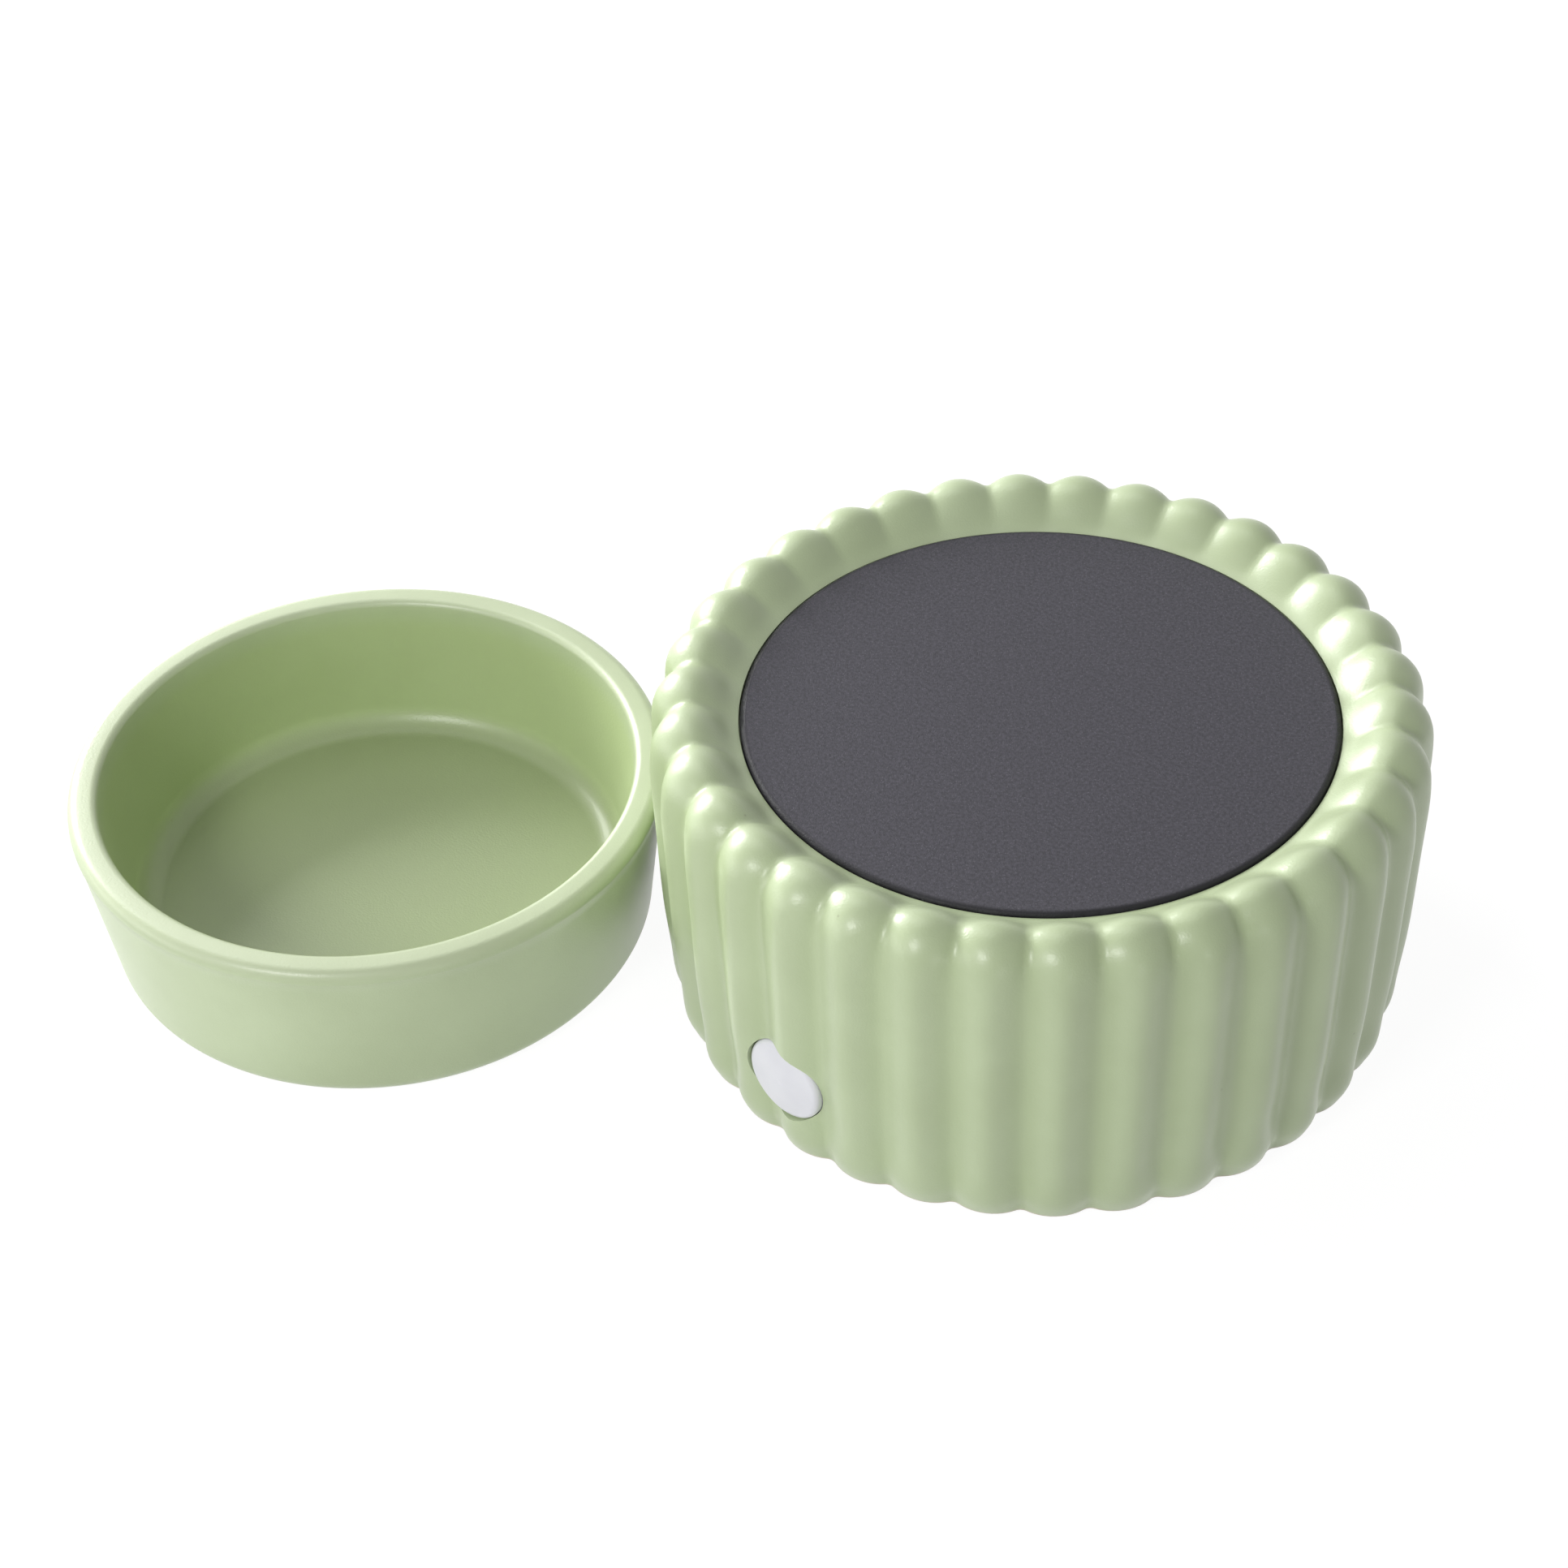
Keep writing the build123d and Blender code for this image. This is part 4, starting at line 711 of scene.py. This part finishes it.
# Extruded silicone: plain deep red, with a soft sheen.
red_sleeve = finish(
    "red_silicone_sleeve", ("#8A1D18", "#A02822"), cloud_mm=3.0, grain_mm=0.3, relief_mm=0.01,
    roughness=0.45, IOR=1.43,
)
dress(red_sleeve, "switch_leads")


# --- Wax dish -------------------------------------------------------------------------------
# Smooth slip-cast stoneware dish in the same glaze, with a rolled lip and a flat foot. It
# holds the wax and is set on the plate by hand.
DISH_RIM_R = 52.76
DISH_HEIGHT = 33.0
DISH_LIP_OUTER_ROUND = 2.0
DISH_LIP_INNER_ROUND = 1.4
DISH_LIP_FLAT = 2.0
DISH_LIP_SKIRT = 0.6
DISH_LIP_STEP = 0.25
DISH_OUTER_LEAN_DEG = 7.6
DISH_INNER_LEAN_DEG = 8.0
DISH_HEEL_ROUND = 3.8
DISH_FLOOR_T = 6.4
DISH_FLOOR_ROUND = 5.0
DISH_PLACE = (-96.593, -68.645)
# Steps on the foot, the outer and the inner side, and the floor, as shares of the way.
DISH_FOOT_STEP = 0.5
DISH_OUTER_STEPS = (0.25, 0.5, 0.75, 0.92)
DISH_INNER_STEPS = (0.15, 0.4, 0.7)
DISH_FLOOR_STEP = 0.6
# The undercut between the wall and the lip's skirt, out and up, as shares of the lip's step.
DISH_UNDERCUT = ((0.08, 0.0), (0.4, 0.48), (0.88, 1.2))


def arc(centre, radius, start_deg, end_deg, steps):
    """Points along an arc in the section's plane, as (radius, height)."""
    turns = [math.radians(start_deg + (end_deg - start_deg) * i / steps) for i in range(steps + 1)]
    return [(centre[0] + radius * math.cos(turn), centre[1] + radius * math.sin(turn)) for turn in turns]


def between(start, end, shares):
    """Points at these shares of the straight way from start to end."""
    return [(start[0] + (end[0] - start[0]) * s, start[1] + (end[1] - start[1]) * s) for s in shares]


def thrown(name, outline, place, steps=288):
    """A round closed body turned from an outline that starts and ends on its axis."""
    points = [(place[0], place[1], outline[0][1])]
    for r, height in outline[1:-1]:
        for i in range(steps):
            turn = 2 * math.pi * i / steps
            points.append((place[0] + r * math.cos(turn), place[1] + r * math.sin(turn), height))
    points.append((place[0], place[1], outline[-1][1]))
    faces = []
    for i in range(steps):
        j = (i + 1) % steps
        faces.append((0, 1 + j, 1 + i))
        for ring in range(len(outline) - 3):
            low, high = 1 + ring * steps, 1 + (ring + 1) * steps
            faces.append((low + i, low + j, high + j, high + i))
        last = 1 + (len(outline) - 3) * steps
        faces.append((last + i, last + j, len(points) - 1))
    return mesh_of(name, points, faces)


outer_lean = math.radians(DISH_OUTER_LEAN_DEG)
inner_lean = math.radians(DISH_INNER_LEAN_DEG)
lip = (DISH_RIM_R - DISH_LIP_OUTER_ROUND, DISH_HEIGHT - DISH_LIP_OUTER_ROUND)
lip_inside = (lip[0] - DISH_LIP_FLAT, DISH_HEIGHT - DISH_LIP_INNER_ROUND)
wall_r = DISH_RIM_R - DISH_LIP_STEP
wall_z = lip[1] - DISH_LIP_SKIRT - DISH_LIP_STEP
heel_top = DISH_HEEL_ROUND * (1 - math.sin(outer_lean))
heel_r = wall_r - (wall_z - heel_top) * math.tan(outer_lean) - DISH_HEEL_ROUND * math.cos(outer_lean)
inner_r = lip_inside[0] - DISH_LIP_INNER_ROUND * math.cos(inner_lean)
inner_z = lip_inside[1] + DISH_LIP_INNER_ROUND * math.sin(inner_lean)
cove_top = DISH_FLOOR_T + DISH_FLOOR_ROUND * (1 - math.sin(inner_lean))
cove_r = inner_r - (inner_z - cove_top) * math.tan(inner_lean) - DISH_FLOOR_ROUND * math.cos(inner_lean)
heel = arc((heel_r, DISH_HEEL_ROUND), DISH_HEEL_ROUND, -90.0, -DISH_OUTER_LEAN_DEG, steps=14)
undercut = [(wall_r + DISH_LIP_STEP * out, wall_z + DISH_LIP_STEP * up) for out, up in DISH_UNDERCUT]
lip_line = arc(lip, DISH_LIP_OUTER_ROUND, 0.0, 90.0, steps=12)
lip_line += arc(lip_inside, DISH_LIP_INNER_ROUND, 90.0, 180.0 - DISH_INNER_LEAN_DEG, steps=10)
cove = arc((cove_r, DISH_FLOOR_T + DISH_FLOOR_ROUND), DISH_FLOOR_ROUND, -DISH_INNER_LEAN_DEG, -90.0, steps=18)
dish_line = [(0.0, 0.0), (heel_r * DISH_FOOT_STEP, 0.0)] + heel
dish_line += between(heel[-1], (wall_r, wall_z), DISH_OUTER_STEPS) + undercut + lip_line
dish_line += between(lip_line[-1], cove[0], DISH_INNER_STEPS) + cove
dish_line += [(cove_r * DISH_FLOOR_STEP, DISH_FLOOR_T), (0.0, DISH_FLOOR_T)]

# Inside the dish, a greener tint on the walls is painted bounce light, standing in for the green light the
# walls throw on each other.
# A darker tint on the floor is painted shade. On the lip the glaze is thin and pale.
dish_glaze = glazed_stoneware("satin_sage_glaze_dish", 0.0)
tree = dish_glaze.node_tree
place = add_node(tree, "ShaderNodeTexCoord").outputs["Object"]
centred = add_node(tree, "ShaderNodeVectorMath", {
    "operation": "SUBTRACT", 1: (DISH_PLACE[0] * MM, DISH_PLACE[1] * MM, 0.0),
}, {0: place})
up = add_node(tree, "ShaderNodeSeparateXYZ", {}, {"Vector": centred}).outputs["Z"]
out = reach_of(tree, centred)
# Each band fades along a measure, from a place to another in millimetres, between two shares. The last
# but one keeps the tint off the heel, which is as near to the axis as the inner wall.
low, inner, thin, above, floor_shade_band = (
    add_node(tree, "ShaderNodeMapRange", {
        "interpolation_type": "SMOOTHSTEP", "From Min": start * MM, "From Max": end * MM,
        "To Min": first, "To Max": last,
    }, {"Value": measure})
    for measure, start, end, first, last in (
        (up, DISH_HEIGHT - 6.0, DISH_HEIGHT - 1.5, 1.0, 0.0),
        (out, lip_inside[0] - 2.0, lip_inside[0], 0.42, 0.0),
        (up, DISH_HEIGHT - 2.4, DISH_HEIGHT - 0.4, 0.0, 0.22),
        (up, DISH_FLOOR_T - 1.0, DISH_FLOOR_T - 0.2, 0.0, 1.0),
        (up, DISH_FLOOR_T + 0.3, DISH_FLOOR_T + 4.0, 1.6, 0.0),
    )
)
# Painted bounce light: the inner walls, down to just above the floor, get a greener tint.
painted_bounce_area = add_node(tree, "ShaderNodeMath", {"operation": "MULTIPLY"}, {0: low, 1: inner})
painted_bounce_area = add_node(tree, "ShaderNodeMath", {"operation": "MULTIPLY"}, {0: painted_bounce_area, 1: above})
# Painted shade: the floor inside the dish gets a darker tint.
painted_floor_shade = add_node(tree, "ShaderNodeMath", {"operation": "MULTIPLY", "use_clamp": True}, {
    0: painted_bounce_area, 1: floor_shade_band,
})
tint(dish_glaze, ((painted_bounce_area, "#ADC07D"), (painted_floor_shade, "#828E66"), (thin, "#C9CCB8")))
glazed_dish = thrown("glazed_dish", dish_line, DISH_PLACE)
glazed_dish.data.materials.append(dish_glaze)
glazed_dish.data.shade_smooth()
glazed_dish.data.set_sharp_from_angle(angle=math.radians(SHARP_DEG))
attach(glazed_dish, "dish")
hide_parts("wax_dish")


# --- Table and light ------------------------------------------------------------------------
# A seamless white table in a pale light tent. A large soft lamp stands at the left and a wide
# one hangs above it; two weak ones fill the front, and a small window lights the shoulders.
LAMPS = (
    # name, azimuth, elevation, distance, width, height, watts
    ("left_softbox", 178.0, 21.0, 0.9, 0.42, 0.38, 9.2),
    ("top_softbox", 165.0, 66.0, 1.1, 0.6, 0.6, 1.7),
    ("front_left_fill", -128.0, 8.0, 0.9, 0.8, 0.4, 1.9),
    ("front_window", -84.0, 36.0, 0.9, 0.22, 0.2, 3.0),
    ("front_right_fill", -27.0, 5.0, 0.9, 0.07, 0.16, 0.3),
)
LAMP_AIM = (-0.02, -0.02, 0.03)
# The tent's own light is weak and slightly cool.
TENT_LIGHT = (0.97, 0.98, 1.0, 1.0)
TENT_STRENGTH = 0.25
TABLE_HALF_WIDTH = 3000.0
# Share of its own white in the table as it is seen. The rest is lit, and so carries the shadow.
TABLE_WHITE_SHARE = 0.86
TABLE_WHITE_STRENGTH = 1.09


def seen_rays(tree):
    """One for rays that show the surroundings, straight, in gloss or through glass; else nought."""
    ray = add_node(tree, "ShaderNodeLightPath").outputs
    seen = ray["Is Camera Ray"]
    for way in ("Is Glossy Ray", "Is Transmission Ray"):
        seen = add_node(tree, "ShaderNodeMath", {"operation": "MAXIMUM"}, {0: seen, 1: ray[way]})
    return seen


table_corners = [(x * TABLE_HALF_WIDTH, y * TABLE_HALF_WIDTH, 0.0)
                 for x, y in ((-1, -1), (1, -1), (1, 1), (-1, 1))]
table = mesh_of("white_table", table_corners, [(0, 1, 2, 3)])
# Matt card: plain near-white, its shadows soft.
table_white = bpy.data.materials.new("seamless_white_table")
table_white.use_nodes = True
tree = table_white.node_tree
tree.nodes.clear()
own_white = add_node(tree, "ShaderNodeMath", {"operation": "MULTIPLY", 1: TABLE_WHITE_SHARE}, {
    0: seen_rays(tree),
})
paper = add_node(tree, "ShaderNodeBsdfDiffuse", {"Color": linear("#F4F4F4")})
glow = add_node(tree, "ShaderNodeEmission", {"Color": linear("#FFFFFF"), "Strength": TABLE_WHITE_STRENGTH})
mixed = add_node(tree, "ShaderNodeMixShader", {}, {0: own_white, 1: paper, 2: glow})
add_node(tree, "ShaderNodeOutputMaterial", {}, {"Surface": mixed})
table.data.materials.append(table_white)

world = bpy.data.worlds.new("light_tent")
bpy.context.scene.world = world
world.use_nodes = True
tree = world.node_tree
tree.nodes.clear()
tent = add_node(tree, "ShaderNodeBackground", {"Color": TENT_LIGHT, "Strength": TENT_STRENGTH})
white = add_node(tree, "ShaderNodeBackground", {"Color": linear("#FFFFFF"), "Strength": 1.0})
mixed = add_node(tree, "ShaderNodeMixShader", {}, {0: seen_rays(tree), 1: tent, 2: white})
add_node(tree, "ShaderNodeOutputWorld", {}, {"Surface": mixed})

for name, azimuth, elevation, distance, width, height, watts in LAMPS:
    lamp = bpy.data.lights.new(name, "AREA")
    lamp.shape = "RECTANGLE"
    lamp.size = width
    lamp.size_y = height
    lamp.energy = watts
    turn, rise = math.radians(azimuth), math.radians(elevation)
    towards = Vector((math.cos(turn) * math.cos(rise), math.sin(turn) * math.cos(rise), math.sin(rise)))
    stand = bpy.data.objects.new(name, lamp)
    facing = towards.to_track_quat("Z", "Y").to_matrix().to_4x4()
    stand.matrix_world = Matrix.Translation(Vector(LAMP_AIM) + towards * distance) @ facing
    bpy.context.scene.collection.objects.link(stand)
